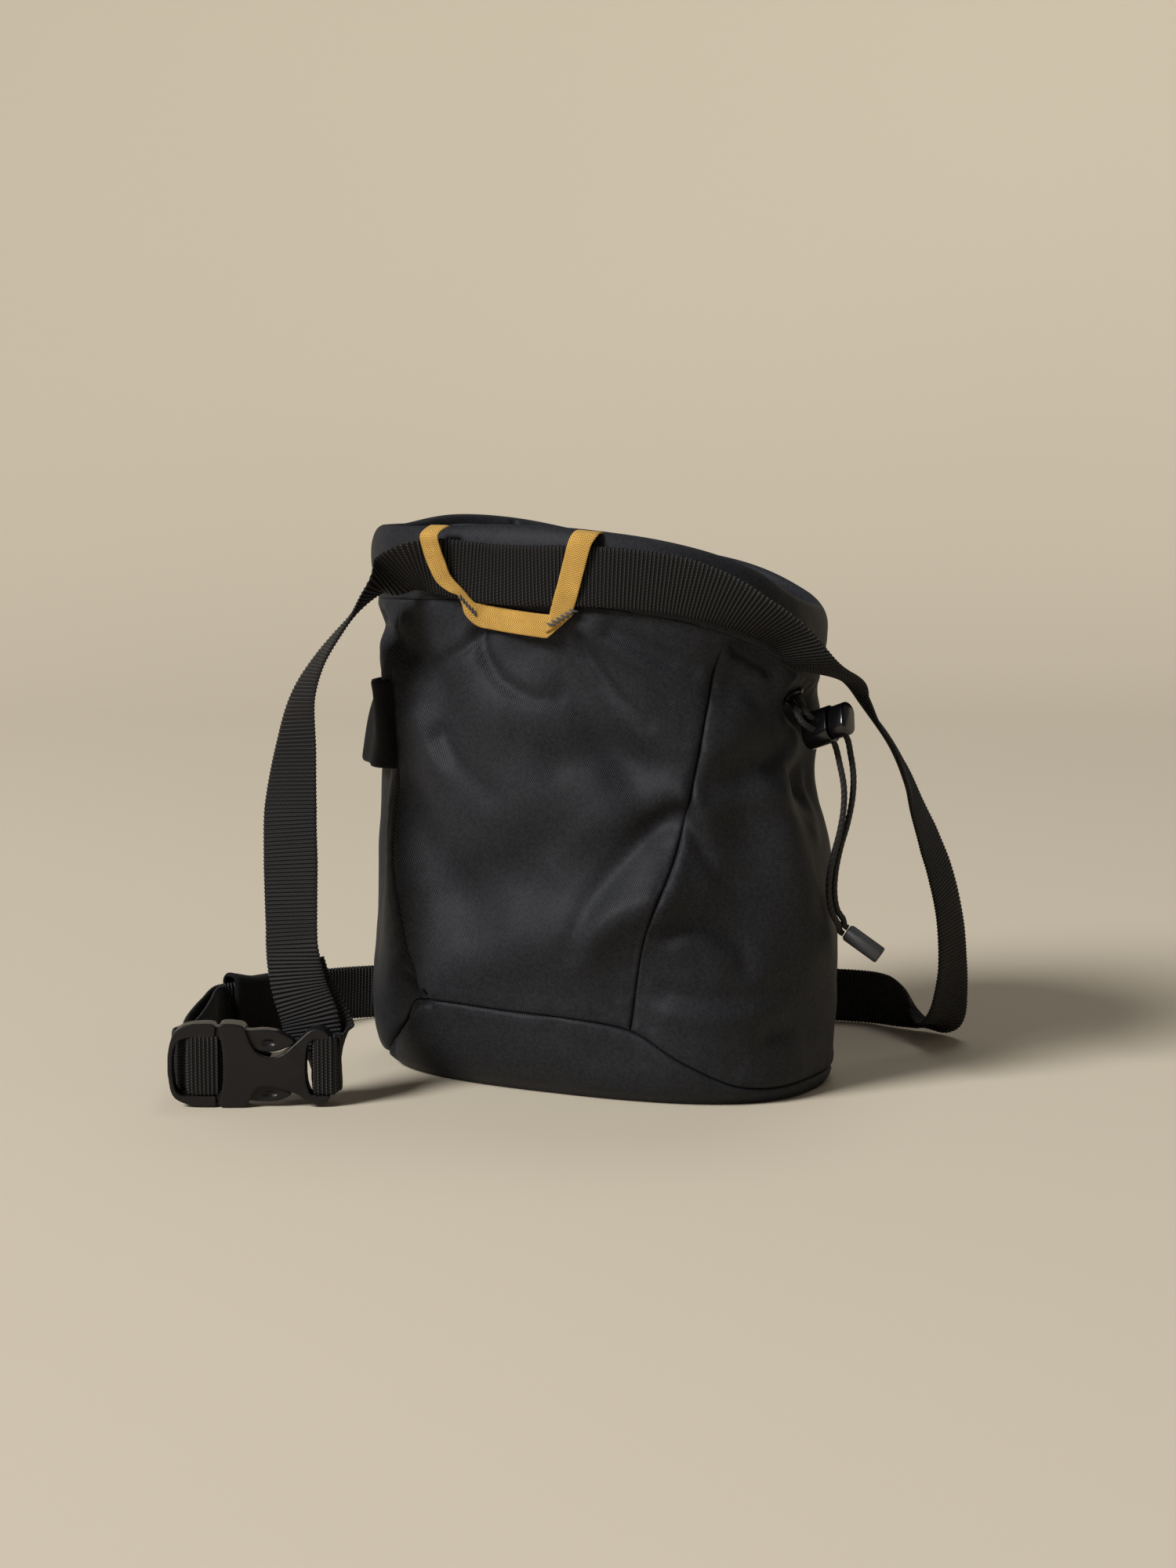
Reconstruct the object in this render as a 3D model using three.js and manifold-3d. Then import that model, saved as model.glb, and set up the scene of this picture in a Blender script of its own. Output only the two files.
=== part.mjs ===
// Climbing chalk bag with a waist belt, side-release buckle, brush loop and drawcord.
// Millimetres. +Z is up, -Y is the bag's front, +X its right end, and the origin is the
// middle of the flat base on the ground.

import * as THREE from 'three';
import { mergeVertices } from 'three/addons/utils/BufferGeometryUtils.js';
import Module from 'manifold-3d';

const wasm = await Module();
wasm.setup();

// Driving dimensions of the bag
const BAG_WIDTH = 160;
const BAG_DEPTH = 110;
const BAG_HEIGHT = 184;
const CLOTH_WALL = 2.2;
const BASE_WALL = 2.4;
const BASE_SEAM_HEIGHT = 28;
const COLLAR_HEIGHT = 24;
const COLLAR_WALL = 4.6;
const COLLAR_BULGE = 1.8;
const FACING_WALL = 1.2;
const SEAM_GAP = 0.3;
const REST_GAP = 0.3;

// Driving dimensions of the webbing, tape and elastic
const BELT_WIDTH = 19;
const BELT_THICKNESS = 1.4;
const TAPE_WIDTH = 7.5;
const TAPE_THICKNESS = 0.9;
const TACK_WIDTH = 1.3;
const TACK_HEIGHT = 0.5;
const KEEPER_LENGTH = 23;
const KEEPER_WALL = 1;
const BRUSH_LOOP_HEIGHT = 29;
const BRUSH_LOOP_WALL = 1.5;
const BRUSH_LOOP_STAND = 6.6;

// Driving dimensions of the buckle
const BUCKLE_LENGTH = 52;
const BUCKLE_WIDTH = 27;
const BUCKLE_THICKNESS = 8.8;
const BUCKLE_WALL = 1.7;
const BAR_THICKNESS = 2.6;
const OUTER_BAR_WIDTH = 1.8;
const FRAME_SLOT = 5.9;
const MIDDLE_BAR_WIDTH = 7.7;
const SOCKET_SLOT = 4;
const END_BAR_WIDTH = 4;
const FRAME_THICKNESS = 6;
const PRONG_THICKNESS = 4.6;
const BUCKLE_TURN = 28;

// Driving dimensions of the drawcord and its fittings
const CORD_DIAMETER = 2;
const CORD_SIDES = 8;
const EYELET_OUTER = 9;
const EYELET_BORE = 5;
const EYELET_FLANGE = 1;
const EYELET_BARREL_WALL = 0.6;
const LOCK_LENGTH = 9.6;
const LOCK_LONG = 12.4;
const LOCK_SHORT = 8;
const BUTTON_LENGTH = 6.4;
const BUTTON_INSET = 0.6;
const CORD_END_LENGTH = 13.4;
const CORD_END_DIAMETER = 5.8;

// Colours as seen, with roughness
const CLOTH = { color: 0x24262a, roughness: 0.82, metalness: 0 };
const WEBBING = { color: 0x161616, roughness: 0.85, metalness: 0 };
const GOLD_TAPE = { color: 0xb9832c, roughness: 0.8, metalness: 0 };
const THREAD = { color: 0x34343a, roughness: 0.9, metalness: 0 };
const PLASTIC = { color: 0x1d1d1e, roughness: 0.45, metalness: 0 };
const GLOSS_PLASTIC = { color: 0x0b0b0c, roughness: 0.15, metalness: 0 };
const RUBBER = { color: 0x2b2b2d, roughness: 0.6, metalness: 0 };
const EYELET_METAL = { color: 0x2c2c2e, roughness: 0.3, metalness: 1 };

// Plan angles are in degrees: 0 is the right end, -90 the front, 90 the back.
// Rim height at each plan angle, as a share of the bag's height.
const RIM = [
  { angle: -180, height: 0.985 },
  { angle: -150, height: 0.988 },
  { angle: -120, height: 0.993 },
  { angle: -90, height: 1 },
  { angle: -65, height: 0.986 },
  { angle: -45, height: 0.962 },
  { angle: -25, height: 0.925 },
  { angle: -5, height: 0.875 },
  { angle: 15, height: 0.852 },
  { angle: 40, height: 0.872 },
  { angle: 70, height: 0.917 },
  { angle: 100, height: 0.95 },
  { angle: 130, height: 0.988 },
  { angle: 155, height: 0.998 },
  { angle: 180, height: 0.985 },
];

// Plan sections from the ground to the neck seam. Half width and half depth are shares of
// the bag's own halves, shifts are shares of the same halves, and square is the exponent
// of the rounded outline.
const SECTIONS = [
  { at: 0, width: 0.93, depth: 0.78, right: 0.03, back: 0.02, square: 2.6 },
  { at: 0.03, width: 0.965, depth: 0.87, right: 0.015, back: 0.01, square: 2.6 },
  { at: 0.09, width: 0.985, depth: 0.95, right: -0.01, back: 0, square: 2.5 },
  { at: 0.2, width: 0.985, depth: 0.99, right: -0.008, back: 0, square: 2.45 },
  { at: 0.4, width: 0.975, depth: 1, right: 0, back: 0, square: 2.4 },
  { at: 0.6, width: 0.965, depth: 0.99, right: -0.004, back: 0, square: 2.35 },
  { at: 0.8, width: 0.945, depth: 0.965, right: -0.01, back: 0, square: 2.3 },
  { at: 0.92, width: 0.94, depth: 0.955, right: -0.015, back: 0, square: 2.3 },
  { at: 1, width: 0.955, depth: 0.97, right: -0.015, back: 0, square: 2.3 },
];

// Main folds and dents of the cloth. angle and at place the middle, run is the length
// along the fold and span the width across it, as shares of the bag's height, lean turns
// the fold from upright (positive leans its top to the right), and out is the height of a
// ridge, or the depth of a dent when negative, as a share of the bag's depth.
const FOLDS = [
  { name: 'left neck pinch', angle: -166, at: 0.87, run: 0.2, span: 0.07, lean: 80, out: -0.052 },
  { name: 'right waist pinch', angle: 10, at: 0.75, run: 0.16, span: 0.085, lean: 78, out: -0.09 },
  { name: 'eyelet dimple', angle: 8, at: 0.955, run: 0.09, span: 0.09, lean: 0, out: -0.14 },
  { name: 'ridge behind eyelet', angle: 38, at: 0.9, run: 0.16, span: 0.06, lean: 30, out: 0.03 },
  { name: 'dent before eyelet', angle: -30, at: 0.9, run: 0.1, span: 0.09, lean: 30, out: -0.045 },
  { name: 'left front ridge', angle: -131, at: 0.62, run: 0.5, span: 0.05, lean: -4, out: 0.03 },
  { name: 'left side hollow', angle: -150, at: 0.6, run: 0.4, span: 0.07, lean: 0, out: -0.05 },
  { name: 'shoulder below left', angle: -136, at: 0.9, run: 0.14, span: 0.06, lean: -35, out: 0.035 },
  { name: 'valley under left tack', angle: -112, at: 0.83, run: 0.2, span: 0.045, lean: -30, out: -0.04 },
  { name: 'ridge right of it', angle: -99, at: 0.72, run: 0.3, span: 0.06, lean: -22, out: 0.04 },
  { name: 'valley under right tack', angle: -72, at: 0.75, run: 0.34, span: 0.05, lean: -34, out: -0.055 },
  { name: 'upper right plane', angle: -52, at: 0.86, run: 0.18, span: 0.08, lean: -40, out: -0.02 },
  { name: 'left middle valley', angle: -117, at: 0.52, run: 0.3, span: 0.05, lean: -38, out: -0.045 },
  { name: 'middle valley', angle: -88, at: 0.47, run: 0.34, span: 0.06, lean: 58, out: -0.035 },
  { name: 'long ridge to seam', angle: -70, at: 0.38, run: 0.36, span: 0.06, lean: 62, out: 0.045 },
  { name: 'lower left swell', angle: -112, at: 0.25, run: 0.3, span: 0.1, lean: 10, out: 0.03 },
  { name: 'lower right hollow', angle: -66, at: 0.2, run: 0.2, span: 0.07, lean: 20, out: -0.03 },
  { name: 'right panel hollow', angle: -32, at: 0.55, run: 0.3, span: 0.09, lean: 10, out: -0.05 },
  { name: 'right panel ridge', angle: -8, at: 0.5, run: 0.34, span: 0.06, lean: -18, out: 0.035 },
  { name: 'right hip', angle: 14, at: 0.35, run: 0.3, span: 0.12, lean: 0, out: 0.02 },
  { name: 'left corner pucker', angle: -124, at: 0.16, run: 0.14, span: 0.035, lean: 35, out: -0.05 },
  { name: 'back middle valley', angle: 92, at: 0.62, run: 0.5, span: 0.08, lean: 25, out: -0.06 },
  { name: 'back left ridge', angle: 122, at: 0.55, run: 0.5, span: 0.07, lean: -14, out: 0.04 },
  { name: 'back right ridge', angle: 60, at: 0.45, run: 0.45, span: 0.07, lean: 20, out: 0.04 },
  { name: 'back neck tuck', angle: 104, at: 0.92, run: 0.16, span: 0.05, lean: 70, out: -0.04 },
  { name: 'left side swell', angle: 176, at: 0.35, run: 0.34, span: 0.12, lean: 0, out: 0.02 },
];

// Upright seams between the four wall panels, and the seam line on top of the base, which
// is high at the front and back and low at both ends. rise is a share of the base seam.
const SEAM_FRONT_LEFT = [
  { at: 0, angle: -115 },
  { at: 0.25, angle: -124 },
  { at: 0.5, angle: -129 },
  { at: 0.75, angle: -130 },
  { at: 1, angle: -128 },
];
const SEAM_FRONT_RIGHT = [
  { at: 0, angle: -67 },
  { at: 0.25, angle: -62 },
  { at: 0.5, angle: -52 },
  { at: 0.75, angle: -44 },
  { at: 1, angle: -36 },
];
const SEAM_BACK_LEFT = [
  { at: 0, angle: 116 },
  { at: 0.5, angle: 128 },
  { at: 1, angle: 131 },
];
const SEAM_BACK_RIGHT = [
  { at: 0, angle: 66 },
  { at: 0.5, angle: 54 },
  { at: 1, angle: 42 },
];
const BASE_SEAM = [
  { angle: -180, rise: 0.16 },
  { angle: -145, rise: 0.18 },
  { angle: -128, rise: 0.62 },
  { angle: -117, rise: 1 },
  { angle: -90, rise: 1 },
  { angle: -67, rise: 0.86 },
  { angle: -52, rise: 0.5 },
  { angle: -36, rise: 0.22 },
  { angle: 0, rise: 0.18 },
  { angle: 36, rise: 0.22 },
  { angle: 52, rise: 0.55 },
  { angle: 66, rise: 0.9 },
  { angle: 90, rise: 1 },
  { angle: 116, rise: 1 },
  { angle: 130, rise: 0.55 },
  { angle: 145, rise: 0.18 },
  { angle: 180, rise: 0.16 },
];

// Cross-section of the padded collar: in is a share of its wall, up of its height, and
// bulge of the bulge on its outside.
const COLLAR_SECTION = [
  { in: 0, up: 0, bulge: 0 },
  { in: 0, up: 0.22, bulge: 0.75 },
  { in: 0, up: 0.5, bulge: 1 },
  { in: 0, up: 0.78, bulge: 0.7 },
  { in: 0.12, up: 0.93, bulge: 0.2 },
  { in: 0.45, up: 1, bulge: 0 },
  { in: 0.85, up: 0.96, bulge: 0 },
  { in: 1, up: 0.86, bulge: 0 },
  { in: 1, up: 0.42, bulge: 0 },
  { in: 1, up: 0, bulge: 0 },
];

// Smooth curve through the rows of a table: value of a column where key equals where
function column(table, key, where, name) {
  const last = table.length - 1;
  let low = 0;
  while (low < last - 1 && where > table[low + 1][key]) low += 1;
  const from = table[low];
  const to = table[low + 1];
  const share = THREE.MathUtils.clamp((where - from[key]) / (to[key] - from[key]), 0, 1);
  const slope = (row) => {
    const a = table[Math.max(row - 1, 0)];
    const b = table[Math.min(row + 1, last)];
    return (b[name] - a[name]) / (b[key] - a[key]);
  };
  const width = to[key] - from[key];
  const s2 = share * share;
  const s3 = s2 * share;
  return (
    (2 * s3 - 3 * s2 + 1) * from[name] +
    (s3 - 2 * s2 + share) * width * slope(low) +
    (3 * s2 - 2 * s3) * to[name] +
    (s3 - s2) * width * slope(low + 1)
  );
}

const radians = THREE.MathUtils.degToRad;
const wrapped = (angle) => THREE.MathUtils.euclideanModulo(angle + 180, 360) - 180;
const rimHeight = (angle) => BAG_HEIGHT * column(RIM, 'angle', wrapped(angle), 'height');
const neckHeight = (angle) => rimHeight(angle) - COLLAR_HEIGHT;

// Rounded plan outline at a share of the neck height: point and outward normal
function outline(angle, at) {
  const halfWidth = (BAG_WIDTH / 2) * column(SECTIONS, 'at', at, 'width');
  const halfDepth = (BAG_DEPTH / 2) * column(SECTIONS, 'at', at, 'depth');
  const square = column(SECTIONS, 'at', at, 'square');
  const cos = Math.cos(radians(angle));
  const sin = Math.sin(radians(angle));
  const x = Math.sign(cos) * Math.abs(cos) ** (2 / square);
  const y = Math.sign(sin) * Math.abs(sin) ** (2 / square);
  const normal = new THREE.Vector3(
    (Math.sign(x) * Math.abs(x) ** (square - 1)) / halfWidth,
    (Math.sign(y) * Math.abs(y) ** (square - 1)) / halfDepth,
    0
  ).normalize();
  const point = new THREE.Vector3(
    halfWidth * x + (BAG_WIDTH / 2) * column(SECTIONS, 'at', at, 'right'),
    halfDepth * y + (BAG_DEPTH / 2) * column(SECTIONS, 'at', at, 'back'),
    0
  );
  return { point, normal };
}

// Height of the folds above the plain outline, fading out towards the collar and the floor
function relief(angle, at) {
  const reach = (BAG_WIDTH + BAG_DEPTH) / 4;
  let total = 0;
  for (const fold of FOLDS) {
    const side = radians(wrapped(angle - fold.angle)) * reach;
    const rise = (at - fold.at) * (BAG_HEIGHT - COLLAR_HEIGHT);
    const lean = radians(fold.lean);
    const along = (rise * Math.cos(lean) + side * Math.sin(lean)) / (fold.run * BAG_HEIGHT);
    const across = (side * Math.cos(lean) - rise * Math.sin(lean)) / (fold.span * BAG_HEIGHT);
    total += fold.out * BAG_DEPTH * Math.exp(-2 * along * along - across * across);
  }
  const lowFade = THREE.MathUtils.smoothstep(at, 0, 0.1);
  const highFade = 1 - 0.65 * THREE.MathUtils.smoothstep(at, 0.9, 1);
  return total * lowFade * highFade;
}

// Point of the cloth's outside at a plan angle and a share of the neck height, moved in
function bodyPoint(angle, at, inset = 0) {
  const { point, normal } = outline(angle, at);
  point.addScaledVector(normal, relief(angle, at) - inset);
  point.z = at * neckHeight(angle);
  return point;
}

// Point of the collar at a plan angle, up from its seam, moved in from its outside
function collarPoint(angle, up, inset = 0) {
  const { point, normal } = outline(angle, 1);
  point.addScaledVector(normal, relief(angle, 1) * (1 - up / COLLAR_HEIGHT) - inset);
  point.z = neckHeight(angle) + up;
  return point;
}

// Share of the neck height at which the base's top seam runs
const baseSeamShare = (angle) =>
  (BASE_SEAM_HEIGHT * column(BASE_SEAM, 'angle', wrapped(angle), 'rise')) / neckHeight(angle);

// Closed solid of points and faces: merges what coincides, drops empty faces, faces out
function closedSolid(points, faces) {
  const geometry = new THREE.BufferGeometry();
  geometry.setAttribute('position', new THREE.Float32BufferAttribute(points.flatMap((p) => p.toArray()), 3));
  geometry.setIndex(faces.flat());
  const merged = mergeVertices(geometry, 1e-3);
  const index = [...merged.index.array];
  const corner = (i) => new THREE.Vector3().fromBufferAttribute(merged.attributes.position, i);
  const kept = [];
  let volume = 0;
  for (let i = 0; i < index.length; i += 3) {
    const [a, b, c] = index.slice(i, i + 3);
    if (a === b || b === c || c === a) continue;
    kept.push([a, b, c]);
    volume += corner(a).dot(corner(b).cross(corner(c)));
  }
  merged.setIndex(kept.flatMap(([a, b, c]) => (volume > 0 ? [a, b, c] : [a, c, b])));
  merged.computeVertexNormals();
  return merged;
}

// Solid swept through a list of loops with equal numbers of points; joined end to end when
// round is true, and otherwise closed by a cap at each end
function sweptSolid(loops, round = false) {
  const size = loops[0].length;
  const points = loops.flat();
  const faces = [];
  const spans = round ? loops.length : loops.length - 1;
  for (let k = 0; k < spans; k += 1) {
    const next = (k + 1) % loops.length;
    for (let i = 0; i < size; i += 1) {
      const j = (i + 1) % size;
      const [a, b, c, d] = [k * size + i, k * size + j, next * size + j, next * size + i];
      faces.push([a, b, c], [a, c, d]);
    }
  }
  if (!round) {
    const end = (loops.length - 1) * size;
    for (let i = 1; i < size - 1; i += 1) {
      faces.push([0, i + 1, i], [end, end + i, end + i + 1]);
    }
  }
  return closedSolid(points, faces);
}

// Solid between an outer and an inner grid of points, with its four edges closed
function slabSolid(outer, inner) {
  const rows = outer.length;
  const columns = outer[0].length;
  const points = [...outer.flat(), ...inner.flat()];
  const out = (i, j) => i * columns + j;
  const into = (i, j) => rows * columns + i * columns + j;
  const faces = [];
  const quad = (a, b, c, d) => faces.push([a, b, c], [a, c, d]);
  for (let i = 0; i < rows - 1; i += 1) {
    for (let j = 0; j < columns - 1; j += 1) {
      quad(out(i, j), out(i + 1, j), out(i + 1, j + 1), out(i, j + 1));
      quad(into(i, j), into(i, j + 1), into(i + 1, j + 1), into(i + 1, j));
    }
  }
  for (let i = 0; i < rows - 1; i += 1) {
    quad(out(i, 0), into(i, 0), into(i + 1, 0), out(i + 1, 0));
    quad(out(i, columns - 1), out(i + 1, columns - 1), into(i + 1, columns - 1), into(i, columns - 1));
  }
  for (let j = 0; j < columns - 1; j += 1) {
    quad(out(0, j), out(0, j + 1), into(0, j + 1), into(0, j));
    quad(out(rows - 1, j), into(rows - 1, j), into(rows - 1, j + 1), out(rows - 1, j + 1));
  }
  return closedSolid(points, faces);
}

// The four wall panels: their seams, and the squares of cloth along and up each of them
const FRONT = { left: SEAM_FRONT_LEFT, right: SEAM_FRONT_RIGHT, columns: 20, rows: 18 };
const RIGHT = { left: SEAM_FRONT_RIGHT, right: SEAM_BACK_RIGHT, columns: 16, rows: 18 };
const BACK = { left: SEAM_BACK_RIGHT, right: SEAM_BACK_LEFT, columns: 14, rows: 12 };
const LEFT = { left: SEAM_BACK_LEFT, right: SEAM_FRONT_LEFT, columns: 14, rows: 12 };
const seamHalfGap = THREE.MathUtils.radToDeg(SEAM_GAP / 2 / ((BAG_WIDTH + BAG_DEPTH) / 4)) * 1.6;

// Plan angle of a panel's column of squares at a share of the panel's height
function panelAngle(panel, i, share) {
  const left = column(panel.left, 'at', share, 'angle') + seamHalfGap;
  let right = column(panel.right, 'at', share, 'angle') - seamHalfGap;
  if (right < left) right += 360;
  return left + ((right - left) * i) / panel.columns;
}

// Wall panel between two upright seams, from the base seam to the neck seam
function wallPanel(panel) {
  const grid = (inset) => {
    const lines = [];
    for (let i = 0; i <= panel.columns; i += 1) {
      const line = [];
      for (let j = 0; j <= panel.rows; j += 1) {
        const share = j / panel.rows;
        const angle = panelAngle(panel, i, share);
        const gap = SEAM_GAP / neckHeight(angle);
        const low = baseSeamShare(angle) + gap;
        line.push(bodyPoint(angle, low + (1 - gap - low) * share, inset));
      }
      lines.push(line);
    }
    return lines;
  };
  return slabSolid(grid(0), grid(CLOTH_WALL));
}

// Base: a flat bottom with a round edge that turns up to the base seam. Its top edge has
// the same corners as the bottom edges of the panels.
function basePanel() {
  const rise = 4;
  const angles = [FRONT, RIGHT, BACK, LEFT].flatMap((panel) => {
    const steps = Array.from({ length: panel.columns + 1 }, (_, i) => i);
    return steps.map((i) => panelAngle(panel, i, 0));
  });
  const loops = angles.map((angle) => {
    const top = baseSeamShare(angle);
    const floor = BASE_WALL / neckHeight(angle);
    const loop = [new THREE.Vector3(), bodyPoint(angle, 0).multiplyScalar(0.55)];
    for (let j = 0; j <= rise; j += 1) loop.push(bodyPoint(angle, (top * j) / rise));
    for (let j = rise; j >= 0; j -= 1) {
      loop.push(bodyPoint(angle, floor + ((top - floor) * j) / rise, CLOTH_WALL));
    }
    const inside = bodyPoint(angle, 0, CLOTH_WALL).multiplyScalar(0.55);
    loop.push(inside.setZ(BASE_WALL), new THREE.Vector3(0, 0, BASE_WALL));
    return loop;
  });
  return sweptSolid(loops, true);
}

// Padded ring round the mouth
function collar() {
  const around = 60;
  const loops = [];
  for (let k = 0; k < around; k += 1) {
    const angle = (360 * k) / around;
    loops.push(
      COLLAR_SECTION.map((row) =>
        collarPoint(
          angle,
          SEAM_GAP / 2 + row.up * (COLLAR_HEIGHT - SEAM_GAP / 2),
          row.in * COLLAR_WALL - row.bulge * COLLAR_BULGE
        )
      )
    );
  }
  return sweptSolid(loops, true);
}

// Facing tape inside the collar, from above its seam to just under its rounded top
function rimFacing() {
  const around = 60;
  const loops = [];
  for (let k = 0; k < around; k += 1) {
    const angle = (360 * k) / around;
    const outside = COLLAR_WALL + REST_GAP * 2;
    const inside = outside + FACING_WALL;
    const low = COLLAR_HEIGHT * 0.12;
    const high = COLLAR_HEIGHT * 0.86;
    loops.push([
      collarPoint(angle, low, outside),
      collarPoint(angle, high, outside),
      collarPoint(angle, high, inside),
      collarPoint(angle, low, inside),
    ]);
  }
  return sweptSolid(loops, true);
}

// Frames along a smooth curve through stations that hold a point and an across direction,
// with a step about every stepLength
function stripFrames(stations, stepLength) {
  const curve = new THREE.CatmullRomCurve3(stations.map((s) => s.point), false, 'centripetal');
  const last = stations.length - 1;
  const samples = [];
  for (let k = 0; k < last; k += 1) {
    const span = stations[k].point.distanceTo(stations[k + 1].point);
    const steps = Math.max(1, Math.round(span / stepLength));
    for (let i = 0; i < steps; i += 1) samples.push(k + i / steps);
  }
  samples.push(last);
  const points = samples.map((s) => curve.getPoint(s / last));
  return samples.map((at, i) => {
    const before = points[Math.max(i - 1, 0)];
    const after = points[Math.min(i + 1, points.length - 1)];
    const run = after.clone().sub(before).normalize();
    const low = Math.min(Math.floor(at), last - 1);
    const across = stations[low].across.clone().lerp(stations[low + 1].across, at - low);
    across.addScaledVector(run, -across.dot(run)).normalize();
    return { at, point: points[i], across, out: new THREE.Vector3().crossVectors(run, across) };
  });
}

// Flat strip through frames, lifted off them by its lift
function strip(frames, width, thickness, lift = 0) {
  const loops = frames.map(({ point, across, out }) => {
    const corner = (side, face) =>
      point
        .clone()
        .addScaledVector(across, (side * width) / 2)
        .addScaledVector(out, lift + (face * thickness) / 2);
    return [corner(-1, -1), corner(1, -1), corner(1, 1), corner(-1, 1)];
  });
  return sweptSolid(loops);
}

// The belt, buckle and keeper lie in a frame turned about the bag's upright axis
const turned = new THREE.Matrix4().makeRotationZ(radians(BUCKLE_TURN));
const placed = (along, back, up) => new THREE.Vector3(along, back, up).applyMatrix4(turned);

// Belt on the front of the collar: drop is the share of the collar's height from the rim to
// the belt's middle, and tilt turns its top edge out from upright
const BELT_ON_COLLAR = [
  { angle: -119, drop: 0.66, tilt: 58 },
  { angle: -113, drop: 0.55, tilt: 36 },
  { angle: -107, drop: 0.55, tilt: 16 },
  { angle: -101, drop: 0.6, tilt: 6 },
  { angle: -96, drop: 0.64, tilt: 2 },
  { angle: -90, drop: 0.66, tilt: 0 },
  { angle: -80, drop: 0.62, tilt: 0 },
  { angle: -70, drop: 0.58, tilt: 2 },
  { angle: -60, drop: 0.55, tilt: 6 },
  { angle: -50, drop: 0.53, tilt: 14 },
  { angle: -40, drop: 0.57, tilt: 30 },
  { angle: -31, drop: 0.67, tilt: 50 },
  { angle: -22, drop: 0.79, tilt: 68 },
  { angle: -13, drop: 0.99, tilt: 84 },
];

// Free stretches of the belt, as shares of the bag's width, depth and height: up is counted
// from where the belt stands on its edge, and toward is the direction of its top edge
const BELT_LEFT = [
  { along: -0.616, back: -0.468, up: 0.218, toward: [0.9, -0.4, 0.15] },
  { along: -0.618, back: -0.455, up: 0.256, toward: [0.9, -0.42, 0.1] },
  { along: -0.62, back: -0.422, up: 0.36, toward: [0.94, -0.35, 0] },
  { along: -0.622, back: -0.386, up: 0.453, toward: [0.92, -0.4, 0] },
  { along: -0.614, back: -0.345, up: 0.552, toward: [0.75, -0.66, 0] },
  { along: -0.6, back: -0.31, up: 0.645, toward: [0.47, -0.88, 0] },
  { along: -0.569, back: -0.285, up: 0.706, toward: [0.25, -0.95, 0] },
  { along: -0.497, back: -0.265, up: 0.79, toward: [0.05, -1, 0.05] },
  { along: -0.451, back: -0.272, up: 0.835, toward: [-0.1, -0.95, 0.3] },
];
const BELT_RIGHT = [
  { along: 0.492, back: -0.3, up: 0.672, toward: [0.1, -1, 0] },
  { along: 0.552, back: -0.085, up: 0.603, toward: [0, -1, 0] },
  { along: 0.604, back: 0.045, up: 0.539, toward: [-0.05, -1, 0] },
  { along: 0.641, back: 0.127, up: 0.476, toward: [-0.15, -1, 0] },
  { along: 0.669, back: 0.182, up: 0.414, toward: [-0.3, -0.95, 0] },
  { along: 0.698, back: 0.218, up: 0.352, toward: [-0.45, -0.9, 0] },
  { along: 0.724, back: 0.245, up: 0.291, toward: [-0.5, -0.86, 0] },
  { along: 0.743, back: 0.264, up: 0.23, toward: [-0.53, -0.85, 0] },
  { along: 0.754, back: 0.273, up: 0.17, toward: [-0.56, -0.82, 0.05] },
  { along: 0.759, back: 0.291, up: 0.108, toward: [-0.58, -0.76, 0.2] },
  { along: 0.75, back: 0.345, up: 0.044, toward: [-0.55, -0.5, 0.65] },
  { along: 0.722, back: 0.455, up: 0.009, toward: [-0.3, -0.15, 0.95] },
  { along: 0.669, back: 0.582, up: 0.002, toward: [-0.08, 0, 1] },
];
const BELT_BACK = [
  { along: 0.594, back: 0.7, up: 0, toward: [0, 0, 1] },
  { along: 0.49, back: 0.773, up: 0, toward: [0, 0, 1] },
  { along: 0.25, back: 0.805, up: 0, toward: [0, 0, 1] },
  { along: 0, back: 0.81, up: 0, toward: [0, 0, 1] },
  { along: -0.28, back: 0.8, up: 0, toward: [0, 0, 1] },
  { along: -0.5, back: 0.782, up: 0.002, toward: [0, 0, 1] },
];
// Middle of the keeper and the heading of the belt through it, towards the buckle
const KEEPER_AT = { along: -0.745, back: 0.5, up: 0.008 };
const KEEPER_HEADING = { along: -0.72, back: -0.69 };
const BELT_TO_FRAME = [
  { along: -0.85, back: 0.16, up: 0.007, toward: [0, 0, 1] },
  { along: -0.854, back: 0.02, up: 0.008, toward: [0, 0, 1] },
  { along: -0.853, back: -0.14, up: 0.012, toward: [0, 0, 1] },
  { along: -0.848, back: -0.27, up: 0.018, toward: [0, 0, 1] },
];

// Buckle, standing on its long edge: its lower corner at the frame's end, as shares of the
// bag's width and depth in the turned frame
const BUCKLE_AT = { along: -0.862, back: -0.52 };
const buckleCorner = placed(BUCKLE_AT.along * BAG_WIDTH, BUCKLE_AT.back * BAG_DEPTH, 0);
const beltFloor = BELT_WIDTH / 2 + 0.05;

const beltStation = (row) => ({
  point: placed(row.along * BAG_WIDTH, row.back * BAG_DEPTH, beltFloor + row.up * BAG_HEIGHT),
  across: new THREE.Vector3(...row.toward).applyMatrix4(turned),
});

const collarStation = (row) => {
  const angle = row.angle;
  const tilt = radians(row.tilt);
  const stand = BELT_THICKNESS / 2 + REST_GAP * 2 + COLLAR_BULGE + (BELT_WIDTH / 2) * Math.sin(tilt);
  const point = collarPoint(angle, COLLAR_HEIGHT * (1 - row.drop), -stand);
  const across = outline(angle, 1).normal.multiplyScalar(Math.sin(tilt));
  across.z = Math.cos(tilt);
  return { point, across };
};

// Station in the buckle's frame: u along its length, w up across it and n out of its face
const middle = BUCKLE_WIDTH / 2;
const buckleStation = (u, n, w = middle, toward = [0, 0, 1]) => ({
  point: placed(u, -n, w).add(buckleCorner),
  across: new THREE.Vector3(...toward).applyMatrix4(turned),
});

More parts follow.
